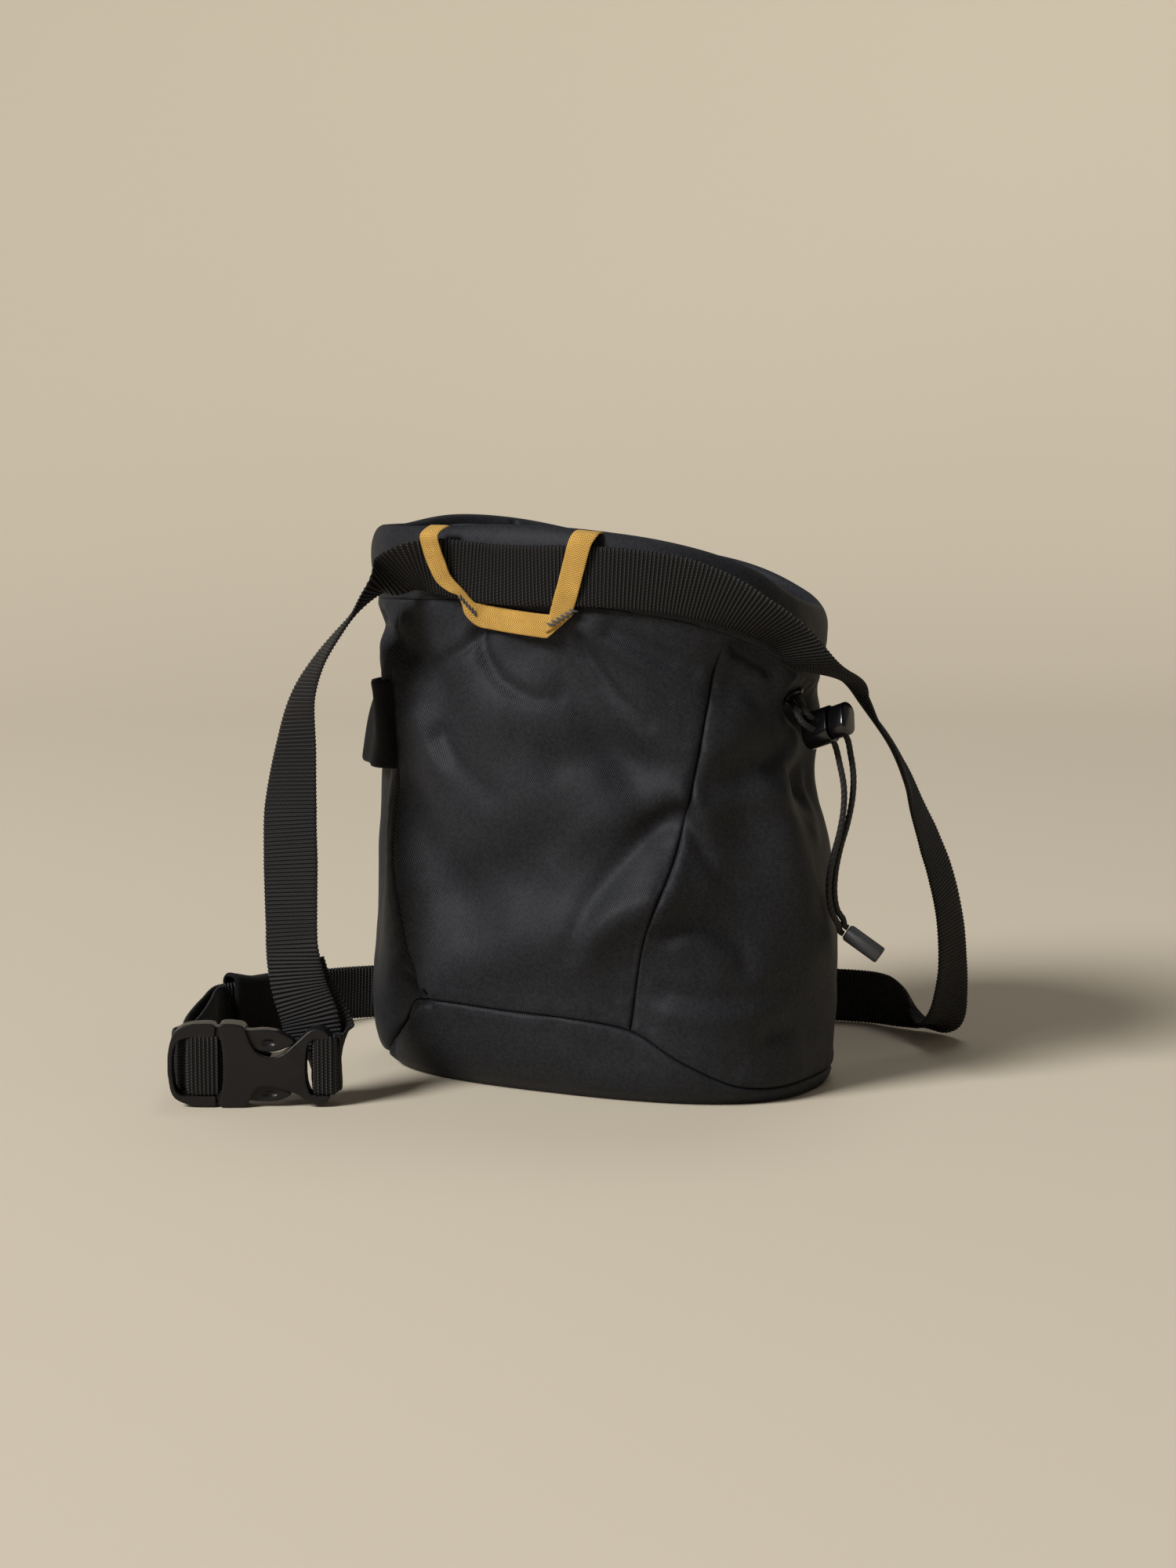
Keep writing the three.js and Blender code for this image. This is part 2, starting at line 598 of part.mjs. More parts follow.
// Where the frame's middle bar and the socket's end bar stand along the buckle
const middleBar = OUTER_BAR_WIDTH + FRAME_SLOT + MIDDLE_BAR_WIDTH / 2;
const frameLength = middleBar + MIDDLE_BAR_WIDTH / 2;
const endBar = BUCKLE_LENGTH - END_BAR_WIDTH / 2;
const wrap = BELT_THICKNESS / 2 + REST_GAP * 1.6;

// Belt end at the socket: sewn tail behind the strap, round the end bar, through its slot
function beltAtSocket() {
  const face = BAR_THICKNESS / 2 + wrap;
  const side = END_BAR_WIDTH / 2 + wrap;
  const back = -BUCKLE_THICKNESS / 2 - wrap;
  return [
    buckleStation(endBar - 9.4, back - 4.4, middle + 31, [0.9, -0.3, 0.35]),
    buckleStation(endBar - 7.2, back - 4.8, middle + 23, [0.9, -0.25, 0.4]),
    buckleStation(endBar - 2.6, back - 5, middle + 13.5, [0.75, -0.1, 0.62]),
    buckleStation(endBar + 1.6, back - 3.4, middle + 5, [0.35, 0, 0.9]),
    buckleStation(endBar + side + 1, back / 2, middle + 0.6),
    buckleStation(endBar + side, 0),
    buckleStation(endBar + side * 0.9, face * 0.93),
    buckleStation(endBar, face + 0.3),
    buckleStation(endBar - side * 0.9, face * 0.9),
    buckleStation(endBar - side - 0.2, -0.4),
    buckleStation(endBar - side - 0.8, back, middle + 0.2),
    buckleStation(endBar - side - 0.8, back - 1.8, middle + 4.6, [0.35, 0, 0.9]),
    buckleStation(endBar - 5.2, back - 2.3, middle + 12.5, [0.75, -0.1, 0.62]),
    buckleStation(endBar - 8.6, back - 2, middle + 23, [0.92, -0.25, 0.35]),
  ];
}

// Belt end at the frame: up through the outer slot, over the middle bar and back down
// between the bar and the socket's mouth, where the free tail begins
function beltAtFrame() {
  const face = BAR_THICKNESS / 2 + wrap;
  const side = MIDDLE_BAR_WIDTH / 2 + wrap;
  const back = -FRAME_THICKNESS / 2 - wrap;
  return [
    buckleStation(OUTER_BAR_WIDTH + 1, back - 12),
    buckleStation(OUTER_BAR_WIDTH + 2.4, back - 5.4),
    buckleStation(middleBar - side - 0.2, back + 0.4),
    buckleStation(middleBar - side, 0.4),
    buckleStation(middleBar - side * 0.9, face * 0.95),
    buckleStation(middleBar, face + 0.5),
    buckleStation(middleBar + side * 0.9, face * 0.95),
    buckleStation(middleBar + side, 0.4),
    buckleStation(middleBar + side - 0.1, back + 0.2),
    buckleStation(middleBar + side * 0.55, back - 2.2),
    buckleStation(middleBar - side * 0.35, back - 5),
    buckleStation(middleBar - side * 0.95, back - 11),
  ];
}

// Stretch of the belt through the keeper, moved aside by the gap to the other run
const keeperHeading = placed(KEEPER_HEADING.along, KEEPER_HEADING.back, 0).normalize();
const keeperAside = new THREE.Vector3(-keeperHeading.y, keeperHeading.x, 0);
const beltKeeperMiddle = beltStation({ ...KEEPER_AT, toward: [0, 0, 1] });
const RUN_GAP = BELT_THICKNESS + REST_GAP * 2;
const KEEPER_STEPS = [-0.85, -0.55, 0.55, 0.85];
const keeperRun = (aside) =>
  KEEPER_STEPS.map((step) => ({
    point: beltKeeperMiddle.point
      .clone()
      .addScaledVector(keeperHeading, step * KEEPER_LENGTH)
      .addScaledVector(keeperAside, aside),
    across: new THREE.Vector3(0, 0, 1),
  }));

// Free tail beside the main run, inside the bend, ending just past the keeper
function beltTail() {
  const openings = [2.2, 2, 1.2];
  const beside = [...BELT_TO_FRAME].reverse().slice(1).map((row, k) => {
    const station = beltStation(row);
    station.point.add(placed(RUN_GAP + openings[k], 0, 0));
    return station;
  });
  return [...beside, ...keeperRun(RUN_GAP).reverse().slice(0, 3)];
}

function belt() {
  const stations = [
    ...beltAtSocket(),
    ...BELT_LEFT.map(beltStation),
    ...BELT_ON_COLLAR.map(collarStation),
    ...BELT_RIGHT.map(beltStation),
    ...BELT_BACK.map(beltStation),
    ...keeperRun(0),
    ...BELT_TO_FRAME.map(beltStation),
    ...beltAtFrame(),
    ...beltTail(),
  ];
  return strip(stripFrames(stations, 7), BELT_WIDTH, BELT_THICKNESS);
}

// Keeper: elastic sleeve round both runs of the belt
function beltKeeper() {
  const centre = beltKeeperMiddle.point.clone().addScaledVector(keeperAside, RUN_GAP / 2);
  const halfHigh = BELT_WIDTH / 2 + REST_GAP;
  const halfWide = RUN_GAP / 2 + BELT_THICKNESS / 2 + REST_GAP;
  const corners = [
    [-1, -1],
    [1, -1],
    [1, 1],
    [-1, 1],
  ];
  const ring = (at, grow) =>
    corners.map(([side, up]) =>
      centre
        .clone()
        .addScaledVector(keeperHeading, at)
        .addScaledVector(keeperAside, side * (halfWide + grow))
        .add(new THREE.Vector3(0, 0, up * (halfHigh + grow)))
    );
  const half = KEEPER_LENGTH / 2;
  const loops = [ring(-half, 0), ring(half, 0), ring(half, KEEPER_WALL), ring(-half, KEEPER_WALL)];
  return sweptSolid(loops, true);
}

// One gold tape that makes both belt loops: over the rim, down the front over the belt,
// along under the belt and up again. drop is the share of the collar's height below the
// rim, stand the distance out from the cloth as a share of the collar's wall, counted from
// the belt's face where over is 1, and side and rise turn its across direction.
const TAPE_PATH = [
  { angle: -106.8, drop: 0.085, stand: -1.18, over: 0, side: 1, rise: 0 },
  { angle: -106.8, drop: -0.02, stand: -1, over: 0, side: 1, rise: 0 },
  { angle: -106.8, drop: -0.045, stand: -0.5, over: 0, side: 1, rise: 0 },
  { angle: -106.9, drop: 0, stand: 0.2, over: 0, side: 1, rise: 0 },
  { angle: -107, drop: 0.08, stand: 0.08, over: 1, side: 1, rise: 0.05 },
  { angle: -106.8, drop: 0.3, stand: 0.16, over: 1, side: 1, rise: 0.08 },
  { angle: -106, drop: 0.6, stand: 0.16, over: 1, side: 1, rise: 0.12 },
  { angle: -104.6, drop: 0.86, stand: 0.06, over: 1, side: 1, rise: 0.22 },
  { angle: -102.4, drop: 1.03, stand: 0.04, over: 1, side: 0.9, rise: 0.45 },
  { angle: -99.9, drop: 1.16, stand: 0.02, over: 1, side: 0.6, rise: 0.85 },
  { angle: -97.2, drop: 1.23, stand: 0.42, over: 0, side: 0.2, rise: 1 },
  { angle: -90, drop: 1.22, stand: 0.34, over: 0, side: 0.12, rise: 1 },
  { angle: -84, drop: 1.27, stand: 0.36, over: 0, side: 0.12, rise: 1 },
  { angle: -81.6, drop: 1.24, stand: 0.42, over: 0, side: -0.55, rise: 0.85 },
  { angle: -80.6, drop: 1.12, stand: 0.1, over: 1, side: -1, rise: 0.35 },
  { angle: -80, drop: 0.97, stand: 0.06, over: 1, side: -1, rise: 0.27 },
  { angle: -79, drop: 0.7, stand: 0.06, over: 1, side: -1, rise: 0.27 },
  { angle: -77, drop: 0.36, stand: 0.06, over: 1, side: -1, rise: 0.27 },
  { angle: -75.2, drop: 0.1, stand: 0.08, over: 1, side: -1, rise: 0.2 },
  { angle: -74.8, drop: 0, stand: 0.2, over: 0, side: -1, rise: 0.05 },
  { angle: -74.6, drop: -0.045, stand: -0.5, over: 0, side: -1, rise: 0 },
  { angle: -74.6, drop: -0.02, stand: -1, over: 0, side: -1, rise: 0 },
  { angle: -74.6, drop: 0.085, stand: -1.18, over: 0, side: -1, rise: 0 },
];
const LEFT_TACK = { from: 8, to: 9.6 };
const RIGHT_TACK = { from: 12.6, to: 14.2 };

// Distance from the collar's cloth out to the belt's outer face under the tape's width, at
// an angle and a drop
const tapeHalfAngle = THREE.MathUtils.radToDeg(TAPE_WIDTH / 2 / (BAG_WIDTH / 2)) * 1.3;
function beltFace(angle, drop) {
  const under = [angle - tapeHalfAngle, angle, angle + tapeHalfAngle].map((near) => {
    const tilt = radians(column(BELT_ON_COLLAR, 'angle', near, 'tilt'));
    const below = (drop - column(BELT_ON_COLLAR, 'angle', near, 'drop')) * COLLAR_HEIGHT;
    const reach = BELT_WIDTH / 2 + REST_GAP;
    const along = THREE.MathUtils.clamp(-below / Math.cos(tilt), -reach, reach);
    const out = (BELT_WIDTH / 2 + along) * Math.sin(tilt) + BELT_THICKNESS / 2 / Math.cos(tilt);
    return BELT_THICKNESS / 2 + REST_GAP * 2 + COLLAR_BULGE + out;
  });
  return Math.max(...under);
}

// Point on the outside of the bag at a height, standing out from the cloth or the collar
function skinPoint(angle, height, stand) {
  const neck = neckHeight(angle);
  if (height >= neck) return collarPoint(angle, height - neck, -stand);
  return bodyPoint(angle, height / neck, -stand);
}

function tapeStation(row) {
  const layers = beltFace(row.angle, row.drop) + REST_GAP + TAPE_THICKNESS / 2;
  const stand = row.stand * COLLAR_WALL + row.over * layers;
  const { normal } = outline(row.angle, 1);
  return {
    point: skinPoint(row.angle, rimHeight(row.angle) - row.drop * COLLAR_HEIGHT, stand),
    across: new THREE.Vector3(-normal.y * row.side, normal.x * row.side, row.rise),
  };
}

const tapeFrames = stripFrames(TAPE_PATH.map(tapeStation), 4);
const loopTape = () => strip(tapeFrames, TAPE_WIDTH, TAPE_THICKNESS);

// Bar tack: a row of stitches sewn on the outside of a fold of the tape
function barTack(span) {
  const frames = tapeFrames.filter(({ at }) => at >= span.from && at <= span.to);
  return strip(frames, TACK_WIDTH, TACK_HEIGHT, (TAPE_THICKNESS + TACK_HEIGHT) / 2 + REST_GAP * 2);
}

// Manifold helpers: a closed geometry as a solid, and back again
function solidOf(geometry) {
  const bare = geometry.index ? geometry.toNonIndexed() : geometry.clone();
  bare.deleteAttribute('normal');
  bare.deleteAttribute('uv');
  const merged = mergeVertices(bare, 1e-4);
  return new wasm.Manifold(
    new wasm.Mesh({
      numProp: 3,
      vertProperties: new Float32Array(merged.attributes.position.array),
      triVerts: new Uint32Array(merged.index.array),
    })
  );
}

function geometryOf(solid) {
  const mesh = solid.getMesh();
  const geometry = new THREE.BufferGeometry();
  geometry.setAttribute('position', new THREE.Float32BufferAttribute(mesh.vertProperties, 3));
  geometry.setIndex([...mesh.triVerts]);
  geometry.computeVertexNormals();
  return geometry;
}

// Block between two corners
function block(low, high) {
  const size = high.map((value, k) => value - low[k]);
  const geometry = new THREE.BoxGeometry(...size);
  return geometry.translate(...low.map((value, k) => value + size[k] / 2));
}

// Plate of a flat outline, centred on its thickness
function plate(shape, thickness, curveSegments = 6) {
  const geometry = new THREE.ExtrudeGeometry(shape, { depth: thickness, bevelEnabled: false, curveSegments });
  return geometry.translate(0, 0, -thickness / 2);
}

// Edges of the socket, and of the frame's prong with its ear. at is the share of the
// socket's length, and upper, lower and half are shares of the buckle's half width.
const SOCKET_EDGE = [
  { at: 0, upper: 1, lower: 1 },
  { at: 0.16, upper: 1, lower: 1 },
  { at: 0.2, upper: 0.97, lower: 0.96 },
  { at: 0.24, upper: 0.84, lower: 0.8 },
  { at: 0.275, upper: 0.5, lower: 0.66 },
  { at: 0.33, upper: 0.3, lower: 0.55 },
  { at: 0.43, upper: 0.2, lower: 0.5 },
  { at: 0.56, upper: 0.28, lower: 0.61 },
  { at: 0.66, upper: 0.5, lower: 0.76 },
  { at: 0.74, upper: 0.74, lower: 0.87 },
  { at: 0.81, upper: 0.88, lower: 0.95 },
  { at: 0.93, upper: 0.9, lower: 0.95 },
  { at: 1, upper: 0.84, lower: 0.86 },
];
const PRONG_EDGE = [
  { at: -0.09, half: 0.852 },
  { at: 0.24, half: 0.81 },
  { at: 0.38, half: 0.84 },
  { at: 0.52, half: 0.77 },
  { at: 0.63, half: 0.58 },
  { at: 0.6, half: 0.46 },
  { at: 0.46, half: 0.46 },
  { at: 0.3, half: 0.58 },
  { at: 0.08, half: 0.62 },
  { at: 0.03, half: 0.756 },
  { at: -0.09, half: 0.756 },
];
const CAVITY_SHARE = 0.7;
const socketStart = frameLength + wrap + BELT_THICKNESS / 2 + REST_GAP;
const socketLength = BUCKLE_LENGTH - socketStart;
const edgePoint = (at, half) =>
  new THREE.Vector2(socketStart + at * socketLength, middle + (half * BUCKLE_WIDTH) / 2);

// Room for the belt in a bar's recess, across the buckle
const recessLow = middle - BELT_WIDTH / 2 - REST_GAP * 1.5;
const recessHigh = middle + BELT_WIDTH / 2 + REST_GAP * 1.5;
const farOut = BUCKLE_THICKNESS;

function buckleSocket() {
  const outlinePoints = [
    ...SOCKET_EDGE.map((row) => edgePoint(row.at, -row.lower)),
    ...[...SOCKET_EDGE].reverse().map((row) => edgePoint(row.at, row.upper)),
  ];
  const cavityEnd = socketStart + CAVITY_SHARE * socketLength;
  const cavityHalf = PRONG_THICKNESS / 2 + REST_GAP;
  const slotEnd = BUCKLE_LENGTH - END_BAR_WIDTH;
  const bar = BAR_THICKNESS / 2;
  const cuts = [
    block([0, BUCKLE_WALL, -cavityHalf], [cavityEnd, BUCKLE_WIDTH - BUCKLE_WALL, cavityHalf]),
    block([slotEnd - SOCKET_SLOT, recessLow, -farOut], [slotEnd, recessHigh, farOut]),
    block([slotEnd - bar, recessLow, bar], [BUCKLE_LENGTH + bar, recessHigh, farOut]),
    block([slotEnd - bar, recessLow, -farOut], [BUCKLE_LENGTH + bar, recessHigh, -bar]),
  ];
  let socket = solidOf(plate(new THREE.Shape(outlinePoints), BUCKLE_THICKNESS));
  for (const cut of cuts) socket = socket.subtract(solidOf(cut));
  return geometryOf(socket);
}

function buckleFrame() {
  const round = BUCKLE_WIDTH * 0.26;
  const edge = new THREE.Shape();
  edge.moveTo(frameLength, 0);
  edge.lineTo(frameLength, BUCKLE_WIDTH);
  edge.lineTo(round, BUCKLE_WIDTH);
  edge.quadraticCurveTo(0, BUCKLE_WIDTH, 0, BUCKLE_WIDTH - round);
  edge.lineTo(0, round);
  edge.quadraticCurveTo(0, 0, round, 0);
  const window = block([OUTER_BAR_WIDTH, recessLow, -farOut], [BUCKLE_LENGTH, recessHigh, farOut]);
  const bar = block(
    [middleBar - MIDDLE_BAR_WIDTH / 2, recessLow - REST_GAP, -BAR_THICKNESS / 2],
    [frameLength, recessHigh + REST_GAP, BAR_THICKNESS / 2]
  );
  let frame = solidOf(plate(edge, FRAME_THICKNESS)).subtract(solidOf(window)).add(solidOf(bar));
  for (const side of [-1, 1]) {
    const prong = new THREE.Shape(PRONG_EDGE.map((row) => edgePoint(row.at, side * row.half)));
    frame = frame.add(solidOf(plate(prong, PRONG_THICKNESS)));
  }
  return geometryOf(frame);
}

// Brush loop: a wide elastic band sewn to the left side, standing out more at its bottom
const BRUSH_LOOP_SPAN = { from: -174, to: -138, at: 0.742 };
function brushLoop() {
  const steps = 14;
  const levels = [0, 0.5, 1];
  const grid = (inset) => {
    const lines = [];
    for (let k = 0; k <= steps; k += 1) {
      const share = k / steps;
      const angle = THREE.MathUtils.lerp(BRUSH_LOOP_SPAN.from, BRUSH_LOOP_SPAN.to, share);
      const half = BRUSH_LOOP_HEIGHT / 2 / neckHeight(angle);
      const bow = Math.sin(Math.PI * share) ** 0.7;
      lines.push(
        levels.map((level) => {
          const stand = REST_GAP * 2.5 + bow * BRUSH_LOOP_STAND * (1 - 0.5 * level);
          return bodyPoint(angle, BRUSH_LOOP_SPAN.at + half * (2 * level - 1), -stand - inset);
        })
      );
    }
    return lines;
  };
  return slabSolid(grid(BRUSH_LOOP_WALL), grid(0));
}

// Drawcord eyelet: where it sits, and its axis out of the cloth
const EYELET_AT = { angle: 8, at: 0.96 };
const EYELET_LIFT = 0.7;
const eyeletBarrel = EYELET_BORE / 2 + EYELET_BARREL_WALL;
const eyeletPoint = bodyPoint(EYELET_AT.angle, EYELET_AT.at);
const eyeletAxis = new THREE.Vector3()
  .crossVectors(
    bodyPoint(EYELET_AT.angle + 3, EYELET_AT.at).sub(bodyPoint(EYELET_AT.angle - 3, EYELET_AT.at)),
    bodyPoint(EYELET_AT.angle, EYELET_AT.at + 0.02).sub(bodyPoint(EYELET_AT.angle, EYELET_AT.at - 0.02))
  )
  .normalize();
const eyeletTurn = new THREE.Quaternion().setFromUnitVectors(new THREE.Vector3(0, 1, 0), eyeletAxis);
const eyeletUp = new THREE.Vector3(0, 0, 1).projectOnPlane(eyeletAxis).normalize();
const eyeletDepth = CLOTH_WALL + EYELET_LIFT + 0.8;

function cordEyelet() {
  const outer = EYELET_OUTER / 2;
  const bore = EYELET_BORE / 2;
  const profile = [
    [bore, -eyeletDepth],
    [eyeletBarrel, -eyeletDepth],
    [eyeletBarrel, 0],
    [outer, 0],
    [outer, EYELET_FLANGE * 0.4],
    [(outer + bore) / 2, EYELET_FLANGE],
    [bore, EYELET_FLANGE * 0.5],
    [bore, -eyeletDepth],
  ].map(([x, y]) => new THREE.Vector2(x, y));
  const geometry = new THREE.LatheGeometry(profile, 16);
  geometry.applyQuaternion(eyeletTurn);
  const seat = eyeletPoint.clone().addScaledVector(eyeletAxis, EYELET_LIFT);
  return geometryOf(solidOf(geometry.translate(...seat.toArray())));
}

// Right panel with the hole for the eyelet's barrel and the cloth pressed in by its flange
function rightPanel() {
  const depth = CLOTH_WALL * 8;
  const cutter = (radius, middleOut) => {
    const geometry = new THREE.CylinderGeometry(radius + REST_GAP, radius + REST_GAP, depth, 16);
    geometry.translate(0, middleOut, 0).applyQuaternion(eyeletTurn);
    return solidOf(geometry.translate(...eyeletPoint.toArray()));
  };
  const pressed = cutter(EYELET_OUTER / 2, EYELET_LIFT - REST_GAP + depth / 2);
  return geometryOf(solidOf(wallPanel(RIGHT)).subtract(cutter(eyeletBarrel, 0)).subtract(pressed));
}

// Cord lock: middle, button axis and long direction in the turned frame
const LOCK_AT = placed(70.2, -36.5, 118.8);
const lockAxis = placed(0.74, -0.58, 0.34).normalize();
const lockAcross = new THREE.Vector3().crossVectors(lockAxis, placed(0, 0.51, 0.86)).normalize();
const lockLong = new THREE.Vector3().crossVectors(lockAcross, lockAxis);
const lockTurn = new THREE.Matrix4().makeBasis(lockLong, lockAcross, lockAxis);
const CORD_SPREAD = CORD_DIAMETER / 2 + REST_GAP * 0.7;
const BORE_SPREAD = 2;

function stadium(long, short) {
  const half = (long - short) / 2;
  const shape = new THREE.Shape();
  shape.absarc(half, 0, short / 2, -Math.PI / 2, Math.PI / 2);
  shape.absarc(-half, 0, short / 2, Math.PI / 2, (3 * Math.PI) / 2);
  return shape;
}

const inLock = (geometry) => geometry.applyMatrix4(lockTurn).translate(...LOCK_AT.toArray());

function cordLock() {
  let body = solidOf(plate(stadium(LOCK_LONG, LOCK_SHORT), LOCK_LENGTH));
  for (const side of [-1, 1]) {
    const bore = new THREE.CylinderGeometry(
      CORD_DIAMETER / 2 + REST_GAP,
      CORD_DIAMETER / 2 + REST_GAP,
      LOCK_SHORT + 2,
      12
    );
    body = body.subtract(solidOf(bore.translate(side * BORE_SPREAD, 0, 0)));
  }
  return inLock(geometryOf(body));
}

function cordLockButton() {
  const shape = stadium(LOCK_LONG - 2 * BUTTON_INSET, LOCK_SHORT - 2 * BUTTON_INSET);
  const button = plate(shape, BUTTON_LENGTH);
  return inLock(geometryOf(solidOf(button.translate(0, 0, LOCK_LENGTH / 2 + REST_GAP + BUTTON_LENGTH / 2))));
}

// Routes of the two strands below the lock: right, back and up in the turned frame
const STRAND_FRONT = [
  [75, -33.4, 113],
  [76.6, -34.4, 106.5],
  [77.9, -35, 99.5],
  [77.9, -35.2, 92.5],
  [76.6, -35.8, 84.5],
  [74.8, -37, 78],
  [73.3, -38.2, 71.5],
  [73, -38.6, 65],
  [74.2, -38, 59],
  [76.6, -36.6, 54.6],
];
const STRAND_BACK = [
  [78.6, -31, 115.6],
  [80.3, -31.6, 109.5],
  [81.2, -32.2, 102.5],
  [80.9, -32.8, 95.5],
  [79.3, -33.6, 87.5],
  [77, -34.8, 79.5],
  [75.4, -36.2, 72],
  [75.1, -36.6, 65],
  [76.1, -36, 59.6],
  [78.2, -34.9, 56.2],
];
const CORD_END_AT = placed(79.2, -35.4, 52.4);
const cordEndAxis = placed(0.8, -0.2, -0.56).normalize();

// Middle line of a strand: out of the eyelet, through the lock and down to the cord end
function strandPoints(side, route) {
  const inEyelet = (out) =>
    eyeletPoint.clone().addScaledVector(eyeletAxis, out).addScaledVector(eyeletUp, side * CORD_SPREAD);
  const atLock = (across, long, out) =>
    LOCK_AT.clone()
      .addScaledVector(lockAcross, across)
      .addScaledVector(lockLong, long + side * BORE_SPREAD)
      .addScaledVector(lockAxis, out);
  const half = LOCK_SHORT / 2;
  const endSide = new THREE.Vector3().crossVectors(cordEndAxis, new THREE.Vector3(0, 0, 1)).normalize();
  endSide.cross(cordEndAxis).negate();
  const end = CORD_END_AT.clone().addScaledVector(endSide, side * -CORD_SPREAD);
  return [
    inEyelet(-CLOTH_WALL / 2),
    inEyelet(EYELET_LIFT + EYELET_FLANGE),
    inEyelet(EYELET_LIFT + EYELET_FLANGE + 3).add(placed(0.6, -0.8, -0.3)),
    atLock(half * 2.1 - side * CORD_SPREAD, LOCK_LONG * 0.5, -LOCK_LENGTH * 0.3),
    atLock(half * 1.9 - side * CORD_SPREAD, LOCK_LONG * 0.1, -LOCK_LENGTH * 0.06),
    atLock(half * 1.3, 0, 0),
    atLock(0, 0, 0),
    atLock(-half * 1.3, 0, 0),
    ...route.map((point) => placed(...point)),
    end.clone().addScaledVector(cordEndAxis, -1.6),
    end.clone().addScaledVector(cordEndAxis, -REST_GAP),
  ];
}

function drawcord(side, route) {
  const section = new THREE.Shape();
  for (let k = 0; k < CORD_SIDES; k += 1) {
    const turn = (2 * Math.PI * (k + 0.5)) / CORD_SIDES;
    const x = (CORD_DIAMETER / 2) * Math.cos(turn);
    const y = (CORD_DIAMETER / 2) * Math.sin(turn);
    if (k === 0) section.moveTo(x, y);
    else section.lineTo(x, y);
  }
  const curve = new THREE.CatmullRomCurve3(strandPoints(side, route), false, 'centripetal');
  const geometry = new THREE.ExtrudeGeometry(section, { steps: 38, bevelEnabled: false, extrudePath: curve });
  return geometryOf(solidOf(geometry));
}

// Moulded end that both strands run into
function cordEnd() {
  const radius = CORD_END_DIAMETER / 2;
  const profile = [
    [0, 0],
    [radius * 0.8, 0],
    [radius, radius * 0.3],
    [radius, CORD_END_LENGTH - radius * 0.15],
    [radius * 0.88, CORD_END_LENGTH],
    [0, CORD_END_LENGTH],
  ].map(([x, y]) => new THREE.Vector2(x, y));
  const geometry = new THREE.LatheGeometry(profile, 16);
  geometry.applyQuaternion(new THREE.Quaternion().setFromUnitVectors(new THREE.Vector3(0, 1, 0), cordEndAxis));
  return geometryOf(solidOf(geometry.translate(...CORD_END_AT.toArray())));
}

// Assembly
const bag = new THREE.Group();

function add(name, geometry, finish, group = bag) {
  const mesh = new THREE.Mesh(geometry, new THREE.MeshStandardMaterial(finish));
  mesh.name = name;
  group.add(mesh);
}

add('front_panel', wallPanel(FRONT), CLOTH);
add('side_panel_right', rightPanel(), CLOTH);
add('back_panel', wallPanel(BACK), CLOTH);
add('side_panel_left', wallPanel(LEFT), CLOTH);
add('base_panel', basePanel(), CLOTH);
add('collar', collar(), CLOTH);
add('rim_facing', rimFacing(), CLOTH);
add('loop_tape', loopTape(), GOLD_TAPE);
add('bar_tack_left', barTack(LEFT_TACK), THREAD);
add('bar_tack_right', barTack(RIGHT_TACK), THREAD);
add('belt', belt(), WEBBING);
add('belt_keeper', beltKeeper(), WEBBING);
add('brush_loop', brushLoop(), WEBBING);
add('cord_eyelet', cordEyelet(), EYELET_METAL);
add('drawcord_front', drawcord(-1, STRAND_FRONT), WEBBING);
add('drawcord_back', drawcord(1, STRAND_BACK), WEBBING);
add('cord_lock', cordLock(), GLOSS_PLASTIC);
add('cord_lock_button', cordLockButton(), GLOSS_PLASTIC);
add('cord_end', cordEnd(), RUBBER);

// The buckle stands on its long edge: its width up, its face to the front
const buckle = new THREE.Group();
buckle.position.copy(buckleCorner);
buckle.rotation.z = radians(BUCKLE_TURN);
const upright = new THREE.Group();
upright.rotation.x = Math.PI / 2;
buckle.add(upright);
bag.add(buckle);
add('buckle_socket', buckleSocket(), PLASTIC, upright);
add('buckle_frame', buckleFrame(), PLASTIC, upright);

export default bag;
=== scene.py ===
import math

import bmesh
import bpy
import numpy as np
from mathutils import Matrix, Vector, noise


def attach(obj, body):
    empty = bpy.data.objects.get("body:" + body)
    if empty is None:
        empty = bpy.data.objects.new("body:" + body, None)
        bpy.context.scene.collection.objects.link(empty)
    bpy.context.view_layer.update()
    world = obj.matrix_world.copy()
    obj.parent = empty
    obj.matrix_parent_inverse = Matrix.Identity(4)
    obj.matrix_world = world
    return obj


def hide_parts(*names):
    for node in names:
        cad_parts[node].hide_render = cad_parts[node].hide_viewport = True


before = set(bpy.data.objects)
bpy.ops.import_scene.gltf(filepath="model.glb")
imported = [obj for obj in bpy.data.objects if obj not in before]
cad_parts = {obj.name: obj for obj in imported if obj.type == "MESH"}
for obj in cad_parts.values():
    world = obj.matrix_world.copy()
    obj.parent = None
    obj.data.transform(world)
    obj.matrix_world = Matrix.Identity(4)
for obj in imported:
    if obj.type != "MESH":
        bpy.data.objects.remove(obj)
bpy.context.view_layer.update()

# Camera. It looks at the bag's front from a little to the right end and from just above,
# with a long lens, so that the upright lines stay nearly straight.
LOOK_ROUND = math.radians(28)
LOOK_DOWN = math.radians(7)
camera = bpy.data.objects.new("camera", bpy.data.cameras.new("camera"))
camera.location = (0.489, -0.929, 0.225)
camera.rotation_euler = (math.pi / 2 - LOOK_DOWN, 0, LOOK_ROUND)
camera.data.lens = 73
camera.data.sensor_width = 36
bpy.context.scene.collection.objects.link(camera)
bpy.context.scene.camera = camera


